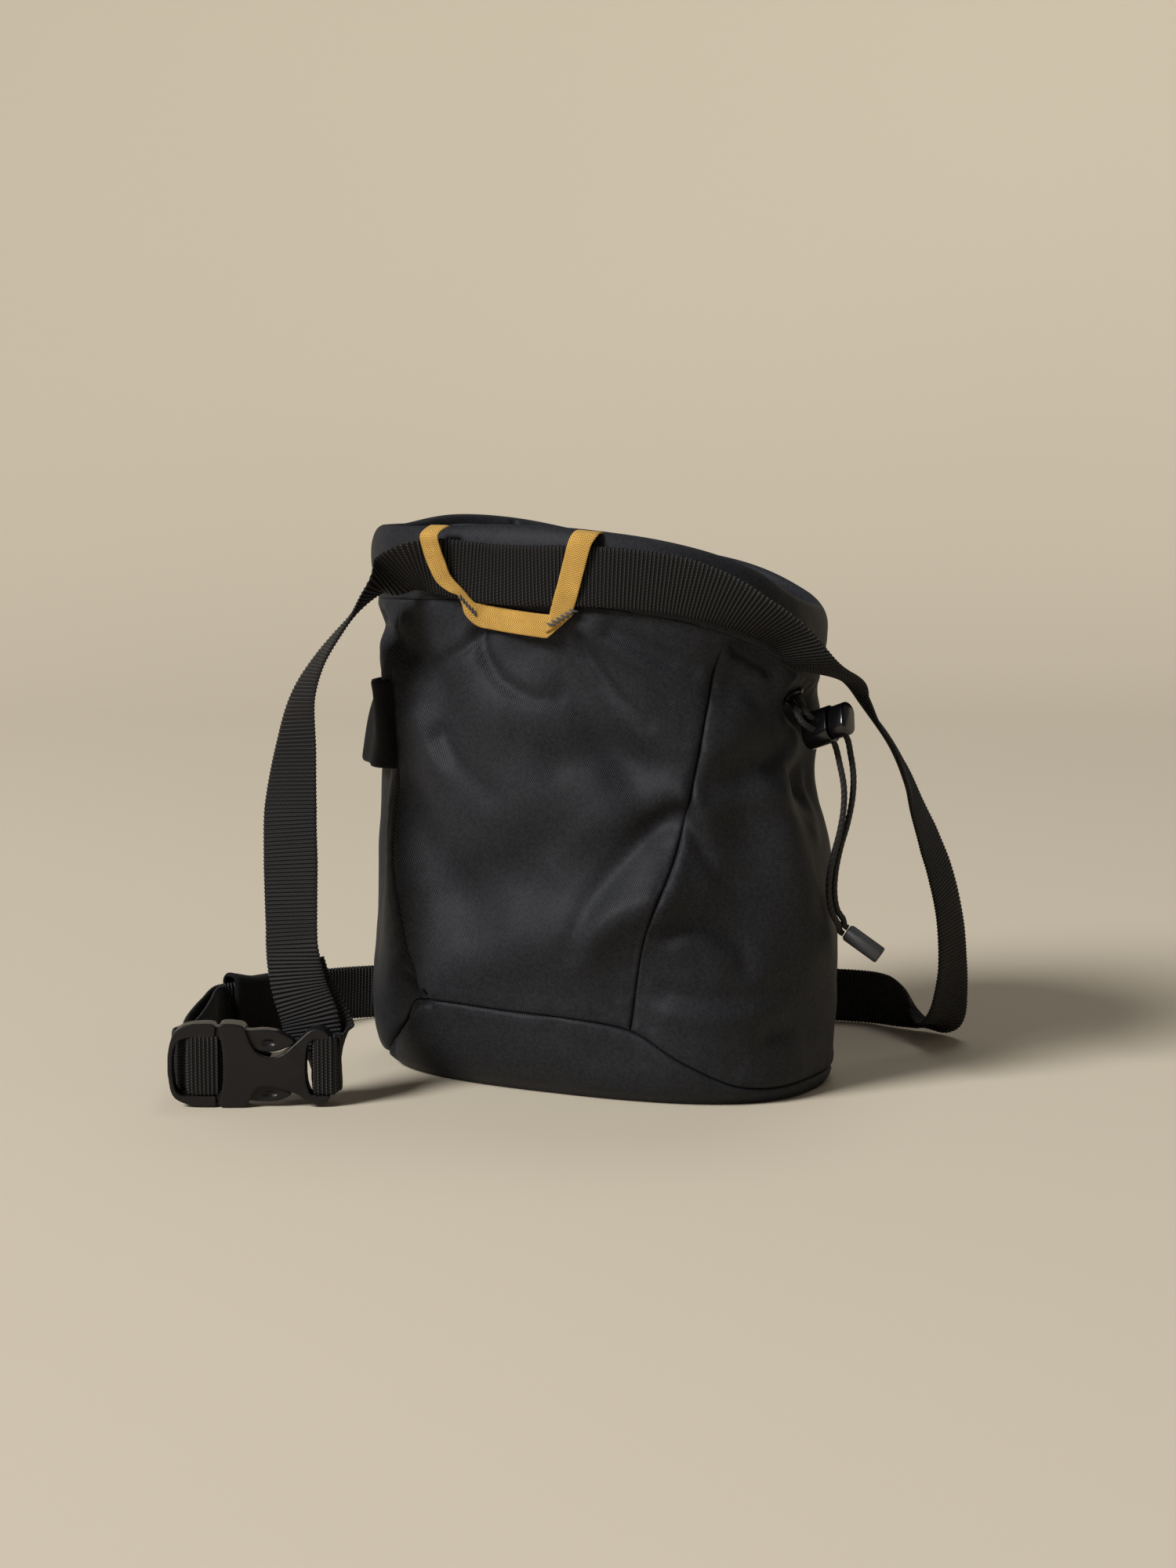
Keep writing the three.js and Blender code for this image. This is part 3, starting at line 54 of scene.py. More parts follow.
# Drawcord. Two strands of 2 mm braided nylon leave the eyelet in the right panel, pass
# through the cord lock and hang side by side into one moulded end. Routes are in mm.
STRAND_FRONT = [
    (63.4, 8.3, 128.2), (65.2, 8.1, 126), (68, 7.5, 123.4), (72.6, -5.3, 125.1), (76.2, -7.3, 121.3),
    (78.1, -4.7, 119), (79.6, -0.2, 117.1), (81.1, 4.4, 115.1), (81.9, 5.7, 113), (83.8, 5.6, 106.5),
    (85.2, 5.7, 99.5), (85.3, 5.5, 92.5), (84.4, 4.4, 84.5), (83.4, 2.4, 78), (82.7, 0.7, 71.5),
    (82.6, 0.2, 65), (83.4, 1.3, 59), (84.8, 3.6, 54.6), (84.6, 5.4, 52.3), (85.6, 5.7, 51.6),
]
STRAND_BACK = [
    (65.2, 8.1, 129.7), (67, 8, 127.6), (69.9, 7.4, 125), (72.4, -1.4, 127.6), (75.9, -3.3, 123.8),
    (77.1, -2.9, 122.5), (78.6, 1.6, 120.5), (80.2, 6.2, 118.6), (84, 9.5, 115.6), (85.7, 9.8, 109.5),
    (86.8, 9.7, 102.5), (86.8, 9, 95.5), (85.8, 7.6, 87.5), (84.3, 5.4, 79.5), (83.6, 3.4, 72),
    (83.5, 2.9, 65), (84.1, 3.9, 59.6), (85.4, 5.9, 56.2), (85.9, 5.8, 54.3), (87, 6, 53.6),
]
CORD_WIDTH = 2.0
CORD_PLY = 1.9


def smooth_run(points, step):
    """Even steps on a smooth curve through points, their place among them, and their lengths."""
    points = np.asarray(points, float)
    held = np.vstack([2 * points[0] - points[1], points, 2 * points[-1] - points[-2]])
    share = np.linspace(0, 1, 24, endpoint=False)[:, None]
    fine, where = [], []
    for k in range(1, len(held) - 2):
        before, start, end, after = held[k - 1 : k + 3]
        a, b, c = (np.sqrt(np.linalg.norm(q - p)) for p, q in ((before, start), (start, end), (end, after)))
        leave = ((start - before) / a - (end - before) / (a + b) + (end - start) / b) * b
        arrive = ((end - start) / b - (after - start) / (b + c) + (after - end) / c) * b
        s2, s3 = share**2, share**3
        fine.append(
            (2 * s3 - 3 * s2 + 1) * start + (s3 - 2 * s2 + share) * leave
            + (3 * s2 - 2 * s3) * end + (s3 - s2) * arrive
        )
        where.append(k - 1 + share[:, 0])
    fine = np.vstack(fine + [points[-1:]])
    where = np.concatenate(where + [[len(points) - 1.0]])
    length = np.concatenate([[0], np.cumsum(np.linalg.norm(np.diff(fine, axis=0), axis=1))])
    along = np.linspace(0, length[-1], max(2, round(length[-1] / step) + 1))
    even = np.column_stack([np.interp(along, length, fine[:, k]) for k in range(3)])
    return even, np.interp(along, length, where), along


def unit(vectors):
    return vectors / np.linalg.norm(vectors, axis=-1, keepdims=True)


def made(name, points, faces, lay=None, smooth=True):
    """A new piece from points in mm, with its weave's lay as a UV map, also in mm."""
    mesh = bpy.data.meshes.new(name)
    mesh.from_pydata((np.asarray(points) / 1000).tolist(), [], [list(f) for f in faces])
    if lay is not None:
        corner = np.empty(len(mesh.loops), int)
        mesh.loops.foreach_get("vertex_index", corner)
        lay = lay[corner] if len(lay) == len(points) else lay
        mesh.uv_layers.new(name="weave").data.foreach_set("uv", np.asarray(lay, np.float32).ravel())
    piece = bpy.data.objects.new(name, mesh)
    bpy.context.scene.collection.objects.link(piece)
    shape = bmesh.new()
    shape.from_mesh(mesh)
    bmesh.ops.remove_doubles(shape, verts=shape.verts, dist=2e-7)
    bmesh.ops.recalc_face_normals(shape, faces=shape.faces)
    shape.to_mesh(mesh)
    shape.free()
    if smooth:
        mesh.shade_smooth()
    return piece


def swept(name, rings, lay):
    """A closed band through equal rings of points, with a cap at each end."""
    count, size = rings.shape[:2]
    faces = []
    for k in range(count - 1):
        for i in range(size):
            j = (i + 1) % size
            faces.append((k * size + i, k * size + j, (k + 1) * size + j, (k + 1) * size + i))
    faces.append(tuple(range(size))[::-1])
    faces.append(tuple((count - 1) * size + i for i in range(size)))
    return made(name, rings.reshape(-1, 3), faces, lay)


def round_cord(name, route):
    points, _, along = smooth_run(route, 0.5)
    run = unit(np.gradient(points, axis=0))
    side = np.cross(run, (0.3, 0.5, 0.8))
    side = unit(side)
    up = np.cross(run, side)
    turn = np.linspace(0, 2 * math.pi, 12, endpoint=False)
    ring = np.cos(turn)[None, :, None] * side[:, None] + np.sin(turn)[None, :, None] * up[:, None]
    swell = 1 + 0.05 * np.cos(2 * turn[None, :] + 2 * math.pi * along[:, None] / CORD_PLY)
    rings = points[:, None] + ring * swell[..., None] * CORD_WIDTH / 2
    lay = np.stack(np.broadcast_arrays(turn[None, :] / (2 * math.pi), along[:, None]), -1)
    piece = swept(name, rings, lay.reshape(-1, 2))
    return piece, points / 1000, along[-1] / 1000


def wire(finish, kind, *inputs, **settings):
    """One node of a finish with its inputs set or joined in order; gives its first output."""
    node = finish.node_tree.nodes.new("ShaderNode" + kind)
    for key, value in settings.items():
        setattr(node, key, value)
    for socket, value in zip(node.inputs, inputs):
        if isinstance(value, bpy.types.NodeSocket):
            finish.node_tree.links.new(value, socket)
        elif value is not None:
            socket.default_value = value
    return node.outputs[0]


def new_finish(name, roughness, **constants):
    finish = bpy.data.materials.new(name)
    finish.use_nodes = True
    shader = finish.node_tree.nodes["Principled BSDF"]
    shader.inputs["Roughness"].default_value = roughness
    for key, value in constants.items():
        shader.inputs[key.replace("_", " ")].default_value = value
    return finish, shader


def weave_lay(finish):
    """Across and along the weave, in mm."""
    lay = wire(finish, "UVMap", uv_map="weave")
    parts = wire(finish, "SeparateXYZ", lay).node
    return parts.outputs[0], parts.outputs[1]


def maths(finish, operation, *inputs):
    return wire(finish, "Math", *inputs, operation=operation)


def rows(finish, value, pitch, shift=0.0):
    """A smooth row pattern from 0 to 1 with that pitch."""
    turned = maths(finish, "MULTIPLY_ADD", value, 2 * math.pi / pitch, shift)
    return maths(finish, "MULTIPLY_ADD", maths(finish, "SINE", turned), 0.5, 0.5)


def grain(finish, scale, detail=2.0, roughness=0.5):
    place = wire(finish, "TexCoord").node.outputs["Object"]
    return wire(finish, "TexNoise", place, None, scale, detail, roughness)


def tint(finish, share, low, high):
    return wire(finish, "MixRGB", share, (*low, 1), (*high, 1))


def raise_by(finish, shader, height, depth, strength=1.0, under=None):
    bump = finish.node_tree.nodes.new("ShaderNodeBump")
    bump.inputs["Strength"].default_value = strength
    bump.inputs["Distance"].default_value = depth
    finish.node_tree.links.new(height, bump.inputs["Height"])
    if under is not None:
        finish.node_tree.links.new(under, bump.inputs["Normal"])
    finish.node_tree.links.new(bump.outputs[0], shader.inputs["Normal"])
    return bump.outputs[0]


def colour_by(finish, shader, colour):
    finish.node_tree.links.new(colour, shader.inputs["Base Color"])


cord_finish, shader = new_finish("braided_cord", 0.72, Sheen_Weight=0.05, Sheen_Roughness=0.4)
turn, along = weave_lay(cord_finish)
twist = maths(cord_finish, "MULTIPLY", turn, 2 * math.pi * 3)
one_way = maths(
    cord_finish, "SINE", maths(cord_finish, "MULTIPLY_ADD", along, 2 * math.pi / CORD_PLY, twist)
)
turned = maths(cord_finish, "MULTIPLY", twist, -1.0)
other_way = maths(
    cord_finish, "SINE", maths(cord_finish, "MULTIPLY_ADD", along, 2 * math.pi / CORD_PLY, turned)
)
braid = maths(cord_finish, "MAXIMUM", one_way, other_way)
braid = maths(cord_finish, "MULTIPLY_ADD", braid, 0.5, 0.5)
colour_by(cord_finish, shader, tint(cord_finish, braid, (0.001, 0.001, 0.001), (0.011, 0.0105, 0.0105)))
raise_by(cord_finish, shader, braid, 0.00022)

for name, route, node in (
    ("drawcord_front_strand", STRAND_FRONT, "drawcord_front"),
    ("drawcord_back_strand", STRAND_BACK, "drawcord_back"),
):
    strand, path, length = round_cord(name, route)
    print(name, "length", round(length, 4))
    strand.data.materials.append(cord_finish)
    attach(strand, "root")
    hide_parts(node)


# Cord lock, its button and the moulded end: shiny black plastic for the lock, and a softer
# dark grey end moulded over both strands, with a shallow ring before its tip.
def finished_copy(node, name, finish, bevel=0.0, segments=3, sharp=35):
    """A merged copy of a CAD node with its moulded edges rounded."""
    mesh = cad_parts[node].data.copy()
    mesh.name = name
    piece = bpy.data.objects.new(name, mesh)
    bpy.context.scene.collection.objects.link(piece)
    shape = bmesh.new()
    shape.from_mesh(mesh)
    bmesh.ops.remove_doubles(shape, verts=shape.verts, dist=2e-5)
    bmesh.ops.dissolve_limit(shape, angle_limit=math.radians(1.5), verts=shape.verts, edges=shape.edges)
    shape.to_mesh(mesh)
    shape.free()
    bpy.ops.object.select_all(action="DESELECT")
    bpy.context.view_layer.objects.active = piece
    piece.select_set(True)
    if bevel:
        edge = piece.modifiers.new("edge", "BEVEL")
        edge.width = bevel / 1000
        edge.segments = segments
        edge.limit_method = "ANGLE"
        edge.angle_limit = math.radians(sharp)
        bpy.ops.object.modifier_apply(modifier="edge")
    bpy.ops.object.shade_smooth_by_angle(angle=math.radians(50))
    mesh = piece.data
    mesh.materials.clear()
    mesh.materials.append(finish)
    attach(piece, "root")
    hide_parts(node)
    return piece


gloss_finish, shader = new_finish("shiny_plastic", 0.2, Coat_Weight=0.2, Coat_Roughness=0.08)
cloudy = grain(gloss_finish, 260.0)
colour_by(
    gloss_finish, shader, tint(gloss_finish, cloudy, (0.0015, 0.0015, 0.0018), (0.004, 0.004, 0.0045))
)
raise_by(gloss_finish, shader, grain(gloss_finish, 700.0), 0.00001, 0.5)

rubber_finish, shader = new_finish("soft_moulding", 0.5)
cloudy = grain(rubber_finish, 500.0)
colour_by(rubber_finish, shader, tint(rubber_finish, cloudy, (0.018, 0.018, 0.02), (0.032, 0.032, 0.035)))
raise_by(rubber_finish, shader, grain(rubber_finish, 2200.0), 0.00003, 0.6)

lock = finished_copy("cord_lock", "cord_lock_body", gloss_finish, 0.9, 4)
button = finished_copy("cord_lock_button", "cord_lock_push", gloss_finish, 0.9, 4)
tip = finished_copy("cord_end", "cord_tip", rubber_finish, 0.5, 3)


# Eyelet. A pressed metal ring with a black coat, set through the right panel's cloth.
eyelet_finish, shader = new_finish("black_metal", 0.32, Metallic=1.0)
colour_by(
    eyelet_finish, shader,
    tint(eyelet_finish, grain(eyelet_finish, 600.0), (0.02, 0.02, 0.022), (0.06, 0.06, 0.065))
)
raise_by(eyelet_finish, shader, grain(eyelet_finish, 1500.0), 0.00002, 0.5)
finished_copy("cord_eyelet", "cord_eyelet_ring", eyelet_finish, 0.15, 2)


# Bag body. Four panels of lined charcoal twill are sewn along upright seams, to a base that
# turns up at its edge and to the collar. Sizes in mm, angles in degrees, shares of the bag.
BAG_WIDTH = 160
BAG_DEPTH = 110
BAG_HEIGHT = 184
CLOTH_WALL = 2.2
BASE_WALL = 2.4
BASE_SEAM_HEIGHT = 28
COLLAR_HEIGHT = 24
SEAM_ROLL = 1.5
PANEL_RISE = 132
COLLAR_BLEND = (118, 131)
LAY_RISE = 150
RIM = [
    (-180, 0.985), (-150, 0.988), (-120, 0.993), (-90, 1), (-65, 0.986), (-45, 0.962), (-25, 0.925),
    (-5, 0.875), (15, 0.852), (40, 0.872), (70, 0.917), (100, 0.95), (130, 0.988), (155, 0.998),
    (180, 0.985),
]
# Height share, half width, half depth, shift right, shift back, squareness
SECTIONS = [
    (0, 0.93, 0.78, 0.03, 0.02, 2.6), (0.03, 0.965, 0.87, 0.015, 0.01, 2.6),
    (0.09, 0.985, 0.95, -0.01, 0, 2.5), (0.2, 0.985, 0.99, -0.008, 0, 2.45),
    (0.4, 0.975, 1, 0, 0, 2.4), (0.6, 0.965, 0.99, -0.004, 0, 2.35),
    (0.8, 0.945, 0.965, -0.01, 0, 2.3), (0.92, 0.94, 0.955, -0.015, 0, 2.3),
    (1, 0.955, 0.97, -0.015, 0, 2.3),
]
# Plan angle, height share, run, span, lean, out
FOLDS = [
    (-166, 0.87, 0.2, 0.07, 80, -0.052), (10, 0.75, 0.16, 0.085, 78, -0.09),
    (8, 0.955, 0.09, 0.09, 0, -0.14), (38, 0.9, 0.16, 0.06, 30, 0.03),
    (-30, 0.9, 0.1, 0.09, 30, -0.045), (-131, 0.62, 0.5, 0.05, -4, 0.03),
    (-150, 0.6, 0.4, 0.07, 0, -0.05), (-136, 0.9, 0.14, 0.06, -35, 0.035),
    (-112, 0.83, 0.2, 0.045, -30, -0.04), (-99, 0.72, 0.3, 0.06, -22, 0.04),
    (-72, 0.75, 0.34, 0.05, -34, -0.055), (-52, 0.86, 0.18, 0.08, -40, -0.02),
    (-117, 0.52, 0.3, 0.05, -38, -0.045), (-88, 0.47, 0.34, 0.06, 58, -0.035),
    (-70, 0.38, 0.36, 0.06, 62, 0.045), (-112, 0.25, 0.3, 0.1, 10, 0.03),
    (-66, 0.2, 0.2, 0.07, 20, -0.03), (-32, 0.55, 0.3, 0.09, 10, -0.05),
    (-8, 0.5, 0.34, 0.06, -18, 0.035), (14, 0.35, 0.3, 0.12, 0, 0.02),
    (-124, 0.16, 0.14, 0.035, 35, -0.05), (92, 0.62, 0.5, 0.08, 25, -0.06),
    (122, 0.55, 0.5, 0.07, -14, 0.04), (60, 0.45, 0.45, 0.07, 20, 0.04),
    (104, 0.92, 0.16, 0.05, 70, -0.04), (176, 0.35, 0.34, 0.12, 0, 0.02),
]
SEAM_FRONT_LEFT = [(0, -115), (0.25, -124), (0.5, -129), (0.75, -130), (1, -128)]
SEAM_FRONT_RIGHT = [(0, -67), (0.25, -62), (0.5, -52), (0.75, -44), (1, -36)]
SEAM_BACK_LEFT = [(0, 116), (0.5, 128), (1, 131)]
SEAM_BACK_RIGHT = [(0, 66), (0.5, 54), (1, 42)]
BASE_SEAM = [
    (-180, 0.16), (-145, 0.18), (-128, 0.62), (-117, 1), (-90, 1), (-67, 0.86), (-52, 0.5), (-36, 0.22),
    (0, 0.18), (36, 0.22), (52, 0.55), (66, 0.9), (90, 1), (116, 1), (130, 0.55), (145, 0.18),
    (180, 0.16),
]
# Finer folds than the solids have. Each has a width, its height out of the cloth at its start
# and end (a valley's is below 0), and its route in mm round the bag and up the cloth.
FINE_FOLDS = [
    (
        2.2, -3.2, -1.2,
        [(129.9, 140.2), (131.3, 136.1), (134.4, 132.4), (139.7, 126.8), (145.8, 121.9), (152.1, 117)]
    ),
    (3.8, 2.4, 0.9, [(133, 142.5), (142.6, 139.5), (151.2, 135.4), (161.7, 132), (170, 129.8)]),
    (3, -2, -0.9, [(140.7, 143.2), (153.9, 138.8), (166.9, 135.8)]),
    (
        2.2, -3.2, -1,
        [(91, 140.2), (93.3, 134.2), (97.7, 128.6), (103.5, 124.5), (112.2, 121.5), (120.9, 121.1)]
    ),
    (7, 1.8, 1.2, [(99.8, 136.1), (105.5, 130.5), (117.2, 127.1)]),
    (2, -2.2, -0.8, [(89.2, 138.8), (85.6, 135.4), (77.8, 132.4), (68, 129.8)]),
    (2.8, -3, -1.1, [(39.9, 144.4), (50.4, 139.5), (56.1, 136.1), (60.9, 132), (63.5, 126.8)]),
    (5, 1.7, 0.9, [(56.6, 143.2), (64.7, 138.8), (74.2, 133.9)]),
    (6.5, 3.4, 1.6, [(162, 98.2), (148.5, 92.2), (135.4, 84.8), (126.3, 77.2), (120.5, 71.2)]),
    (
        4.2, -3.6, -1.6,
        [(160.9, 90.8), (151.2, 84), (142.6, 74.6), (134.8, 64.9), (130.3, 56.6), (126.3, 46.5)]
    ),
    (5, 2.7, 1.1, [(152.7, 64.1), (145.1, 60.4), (139.4, 56.6), (133.4, 51.4), (127.7, 44.2)]),
    (7, -2.3, -2.8, [(122.5, 103.1), (135.4, 106.1), (150.3, 106.1), (160.6, 102)]),
    (10, 2, 1.2, [(103.5, 117.8), (118, 118.1), (131, 115.5), (143.3, 110.6)]),
    (4, 1.9, 1, [(63.8, 113.6), (69.5, 105.4), (75.8, 97.5)]),
    (4, -2.3, -1.1, [(74.5, 108.4), (81.1, 102.4), (91.8, 95.6), (97.7, 91.9)]),
    (1.5, -1.8, -3, [(62.6, 33.8), (68, 30), (73.2, 28.5)]),
    (1.5, -2.3, -0.5, [(73.2, 28.5), (77.1, 25.5), (80.1, 19.9)]),
    (1.8, -2.6, -2.4, [(73.2, 28.5), (64.1, 21.8), (53.1, 13.9), (45.4, 6.8)]),
    (3.4, -4.4, -4.2, [(182.5, 147.4), (188.6, 146.2), (195.2, 146.2)]),
    (4, 1.8, 0.8, [(203, 142.1), (208.3, 148.9), (216.7, 150)]),
    (5, -3.6, -2.6, [(211.3, 124.5), (204.6, 118.9), (196.9, 112.9)]),
    (6.5, -3, -1.8, [(202.8, 126), (196.2, 118.5), (186.4, 108.4), (172, 99.8)]),
    (7, 2.4, 1.8, [(185.4, 128.6), (180.1, 119.2), (173.8, 110.6)]),
    (4, 1.8, 1.2, [(234, 112.9), (232.7, 104.3), (220.8, 94.5)]),
    (6, 2.2, 1.3, [(172, 93.4), (185.7, 101.2), (207.7, 110.2)]),
    (2.8, -2.4, -0.9, [(164.5, 90.8), (168.2, 82.5), (173.1, 75), (180.3, 70.9)]),
    (3.4, 1.6, 1.1, [(161.7, 81), (159.5, 69.8), (155.6, 58.5)]),
    (3.2, -2.3, -1.2, [(157, 54.4), (164.7, 57), (172.8, 56.6), (181.5, 52.1), (184, 45.8)]),
    (5, 1.3, 0.9, [(159.5, 49.5), (168.2, 52.1), (174.3, 46.1)]),
    (3.6, -1.8, -0.9, [(156.7, 35.6), (169.7, 33.8), (185.4, 35.2), (202.5, 41.2)]),
    (4.2, 1.3, 1, [(156.4, 29.6), (170.2, 29.2), (186.6, 31.1)]),
    (4.4, -2.2, -1.5, [(193, 22.9), (202.3, 25.1), (211.9, 22.5)]),
    (4.4, -1.5, -0.8, [(118.9, 22.9), (125.1, 17.2), (129.2, 13.9)]),
]


def table_curve(table, where, column=1):
    """Smooth curve through a column of a table's rows, keyed by their first column."""
    keys = np.array([row[0] for row in table], float)
    values = np.array([row[column] for row in table], float)
    slope = np.gradient(values, keys)
    slope[1:-1] = (values[2:] - values[:-2]) / (keys[2:] - keys[:-2])
    low = np.clip(np.searchsorted(keys, where) - 1, 0, len(keys) - 2)
    span = keys[low + 1] - keys[low]
    share = np.clip((where - keys[low]) / span, 0, 1)
    s2, s3 = share**2, share**3
    return (
        (2 * s3 - 3 * s2 + 1) * values[low] + (s3 - 2 * s2 + share) * span * slope[low]
        + (3 * s2 - 2 * s3) * values[low + 1] + (s3 - s2) * span * slope[low + 1]
    )


def wrapped(angle):
    return (np.asarray(angle, float) + 180) % 360 - 180


def neck_height(angle):
    return BAG_HEIGHT * table_curve(RIM, wrapped(angle)) - COLLAR_HEIGHT


def outline(angle, at):
    """Plan point and outward direction of the plain bag at an angle and a height share."""
    half_width, half_depth = (
        BAG_WIDTH / 2 * table_curve(SECTIONS, at, 1), BAG_DEPTH / 2 * table_curve(SECTIONS, at, 2)
    )
    square = table_curve(SECTIONS, at, 5)
    cos, sin = np.cos(np.radians(angle)), np.sin(np.radians(angle))
    x = np.sign(cos) * np.abs(cos) ** (2 / square)
    y = np.sign(sin) * np.abs(sin) ** (2 / square)
    normal = np.stack(
        [
            np.sign(x) * np.abs(x) ** (square - 1) / half_width,
            np.sign(y) * np.abs(y) ** (square - 1) / half_depth, 0 * x
        ], -1
    )
    point = np.stack(
        [
            half_width * x + BAG_WIDTH / 2 * table_curve(SECTIONS, at, 3),
            half_depth * y + BAG_DEPTH / 2 * table_curve(SECTIONS, at, 4), 0 * x
        ], -1
    )
    return point, unit(normal)


def steps_between(value, low, high):
    share = np.clip((value - low) / (high - low), 0, 1)
    return share * share * (3 - 2 * share)


def relief(angle, at):
    reach = (BAG_WIDTH + BAG_DEPTH) / 4
    total = np.zeros(np.broadcast(angle, at).shape)
    for middle, height, run, span, lean, out in FOLDS:
        side = np.radians(wrapped(angle - middle)) * reach
        rise = (at - height) * (BAG_HEIGHT - COLLAR_HEIGHT)
        cos, sin = math.cos(math.radians(lean)), math.sin(math.radians(lean))
        along = (rise * cos + side * sin) / (run * BAG_HEIGHT)
        across = (side * cos - rise * sin) / (span * BAG_HEIGHT)
        total += out * BAG_DEPTH * np.exp(-2 * along**2 - across**2)
    return total * steps_between(at, 0, 0.1) * (1 - 0.65 * steps_between(at, 0.9, 1))


def fine_relief(round_at, up_at):
    """Height of the fine folds over the cloth."""
    total = np.zeros(round_at.shape)
    for width, first, last, route in FINE_FOLDS:
        run, _, along = smooth_run([(u, v, 0) for u, v in route], 1.5)
        low, high = run.min(0) - 3 * width, run.max(0) + 3 * width
        near = (round_at > low[0]) & (round_at < high[0]) & (up_at > low[1]) & (up_at < high[1])
        if not near.any():
            continue
        gap = np.hypot(round_at[near][:, None] - run[:, 0], up_at[near][:, None] - run[:, 1])
        nearest = gap.argmin(1)
        share = along[nearest] / along[-1]
        total[near] += (first + (last - first) * share) * np.exp(-((gap.min(1) / width) ** 2))
    return total


def body_point(angle, at, inset=0.0):
    point, normal = outline(angle, at)
    point = point + normal * (relief(angle, at) - inset)[..., None]
    point[..., 2] = at * neck_height(angle)
    return point


def base_seam(angle):
    return BASE_SEAM_HEIGHT * table_curve(BASE_SEAM, wrapped(angle)) / neck_height(angle)


def soft_noise(points, size, seed):
    """Gentle unevenness of a few tenths, the same on each run."""
    flat = points.reshape(-1, 3) / size
    found = [noise.noise(Vector((x + seed, y - seed, z))) for x, y, z in flat.tolist()]
    return np.array(found).reshape(points.shape[:-1])


def crumple(points, lay):
    """Soft creases that a filled and handled cloth bag keeps, sharper in their valleys."""
    wander = 6 * soft_noise(points, 40, 11)
    round_at, up_at = lay[..., 0] + wander, lay[..., 1] + wander
    total = 0.5 * soft_noise(points, 21, 1) + 0.14 * soft_noise(points, 7, 5)
    for lean, size, depth, seed in ((50, 34, 1.1, 21), (-35, 27, 0.8, 33), (80, 19, 0.4, 47)):
        cos, sin = math.cos(math.radians(lean)), math.sin(math.radians(lean))
        flat = np.stack(
            [(round_at * cos + up_at * sin) * 0.45, up_at * cos - round_at * sin, 0 * up_at], -1
        )
        total -= depth * (0.22 - np.abs(soft_noise(flat, size, seed)))
    return total


girth_angles = np.linspace(-180, 180, 721)
girth_points, _ = outline(girth_angles, np.full(721, 0.5))
girth = np.concatenate([[0], np.cumsum(np.linalg.norm(np.diff(girth_points, axis=0), axis=1))])


def round_lay(angle):
    """Length round the bag in mm up to a plan angle."""
    turns = np.floor((angle + 180) / 360)
    return np.interp(angle - 360 * turns, girth_angles, girth) + turns * girth[-1]


def edge_shares(length, step):
    near = np.array([0, 0.12, 0.35, 0.7, 1.1, 1.6, 2.3, 3.1, 4])
    middle = np.linspace(4, length - 4, round((length - 8) / step) + 1)[1:-1]
    return np.concatenate([near, middle, length - near[::-1]]) / length


def from_edges(points, axis):
    """Distance of each point of a grid from its nearer edge along an axis."""
    run = np.linalg.norm(np.diff(points, axis=axis), axis=-1)
    run = np.insert(np.cumsum(run, axis=axis), 0, 0, axis=axis)
    total = np.take(run, [-1], axis=axis)
    return run, np.minimum(run, total - run)


def rolled(distance):
    """How far the cloth turns in at a seam, with the low ridge of the allowance beside it."""
    near = np.clip(SEAM_ROLL - distance, 0, SEAM_ROLL)
    turn_in = SEAM_ROLL - np.sqrt(SEAM_ROLL**2 - near**2)
    return turn_in - 0.22 * np.exp(-(((distance - 3.6) / 1.8) ** 2))


def shell(name, outer, inner, lay, around=False, lining=True):
    """A sewn layer between an outer and an inner grid, with all its edges closed."""
    high, wide = outer.shape[:2]
    spans = wide if around else wide - 1
    points = np.concatenate([outer.reshape(-1, 3), inner.reshape(-1, 3)])
    r, c = (v.ravel() for v in np.meshgrid(np.arange(high - 1), np.arange(spans), indexing="ij"))
    d = c + 1

    def corner(row, column, side):
        return side * high * wide + row * wide + column % wide

    def cells(ring, sides):
        places = np.stack([corner(a, b, s) for (a, b), s in zip(ring, sides)], -1)
        spots = np.stack([lay[a, b] for a, b in ring], 1)
        return places, spots

    parts = [
        cells([(r, c), (r, d), (r + 1, d), (r + 1, c)], (0, 0, 0, 0)),
        cells([(r, c), (r + 1, c), (r + 1, d), (r, d)], (1, 1, 1, 1)),
    ]
    across = np.arange(spans)
    for row in (0, high - 1):
        edge = np.full(spans, row)
        parts.append(
            cells([(edge, across), (edge, across + 1), (edge, across + 1), (edge, across)], (0, 0, 1, 1))
        )
    if not around:
        up = np.arange(high - 1)
        for column in (0, wide - 1):
            edge = np.full(high - 1, column)
            parts.append(cells([(up, edge), (up + 1, edge), (up + 1, edge), (up, edge)], (0, 0, 1, 1)))
    faces = np.concatenate([p for p, _ in parts])
    spots = np.concatenate([s for _, s in parts]).reshape(-1, 2)
    piece = made(name, points, faces.tolist(), spots)
    return piece, len(parts[0][0])


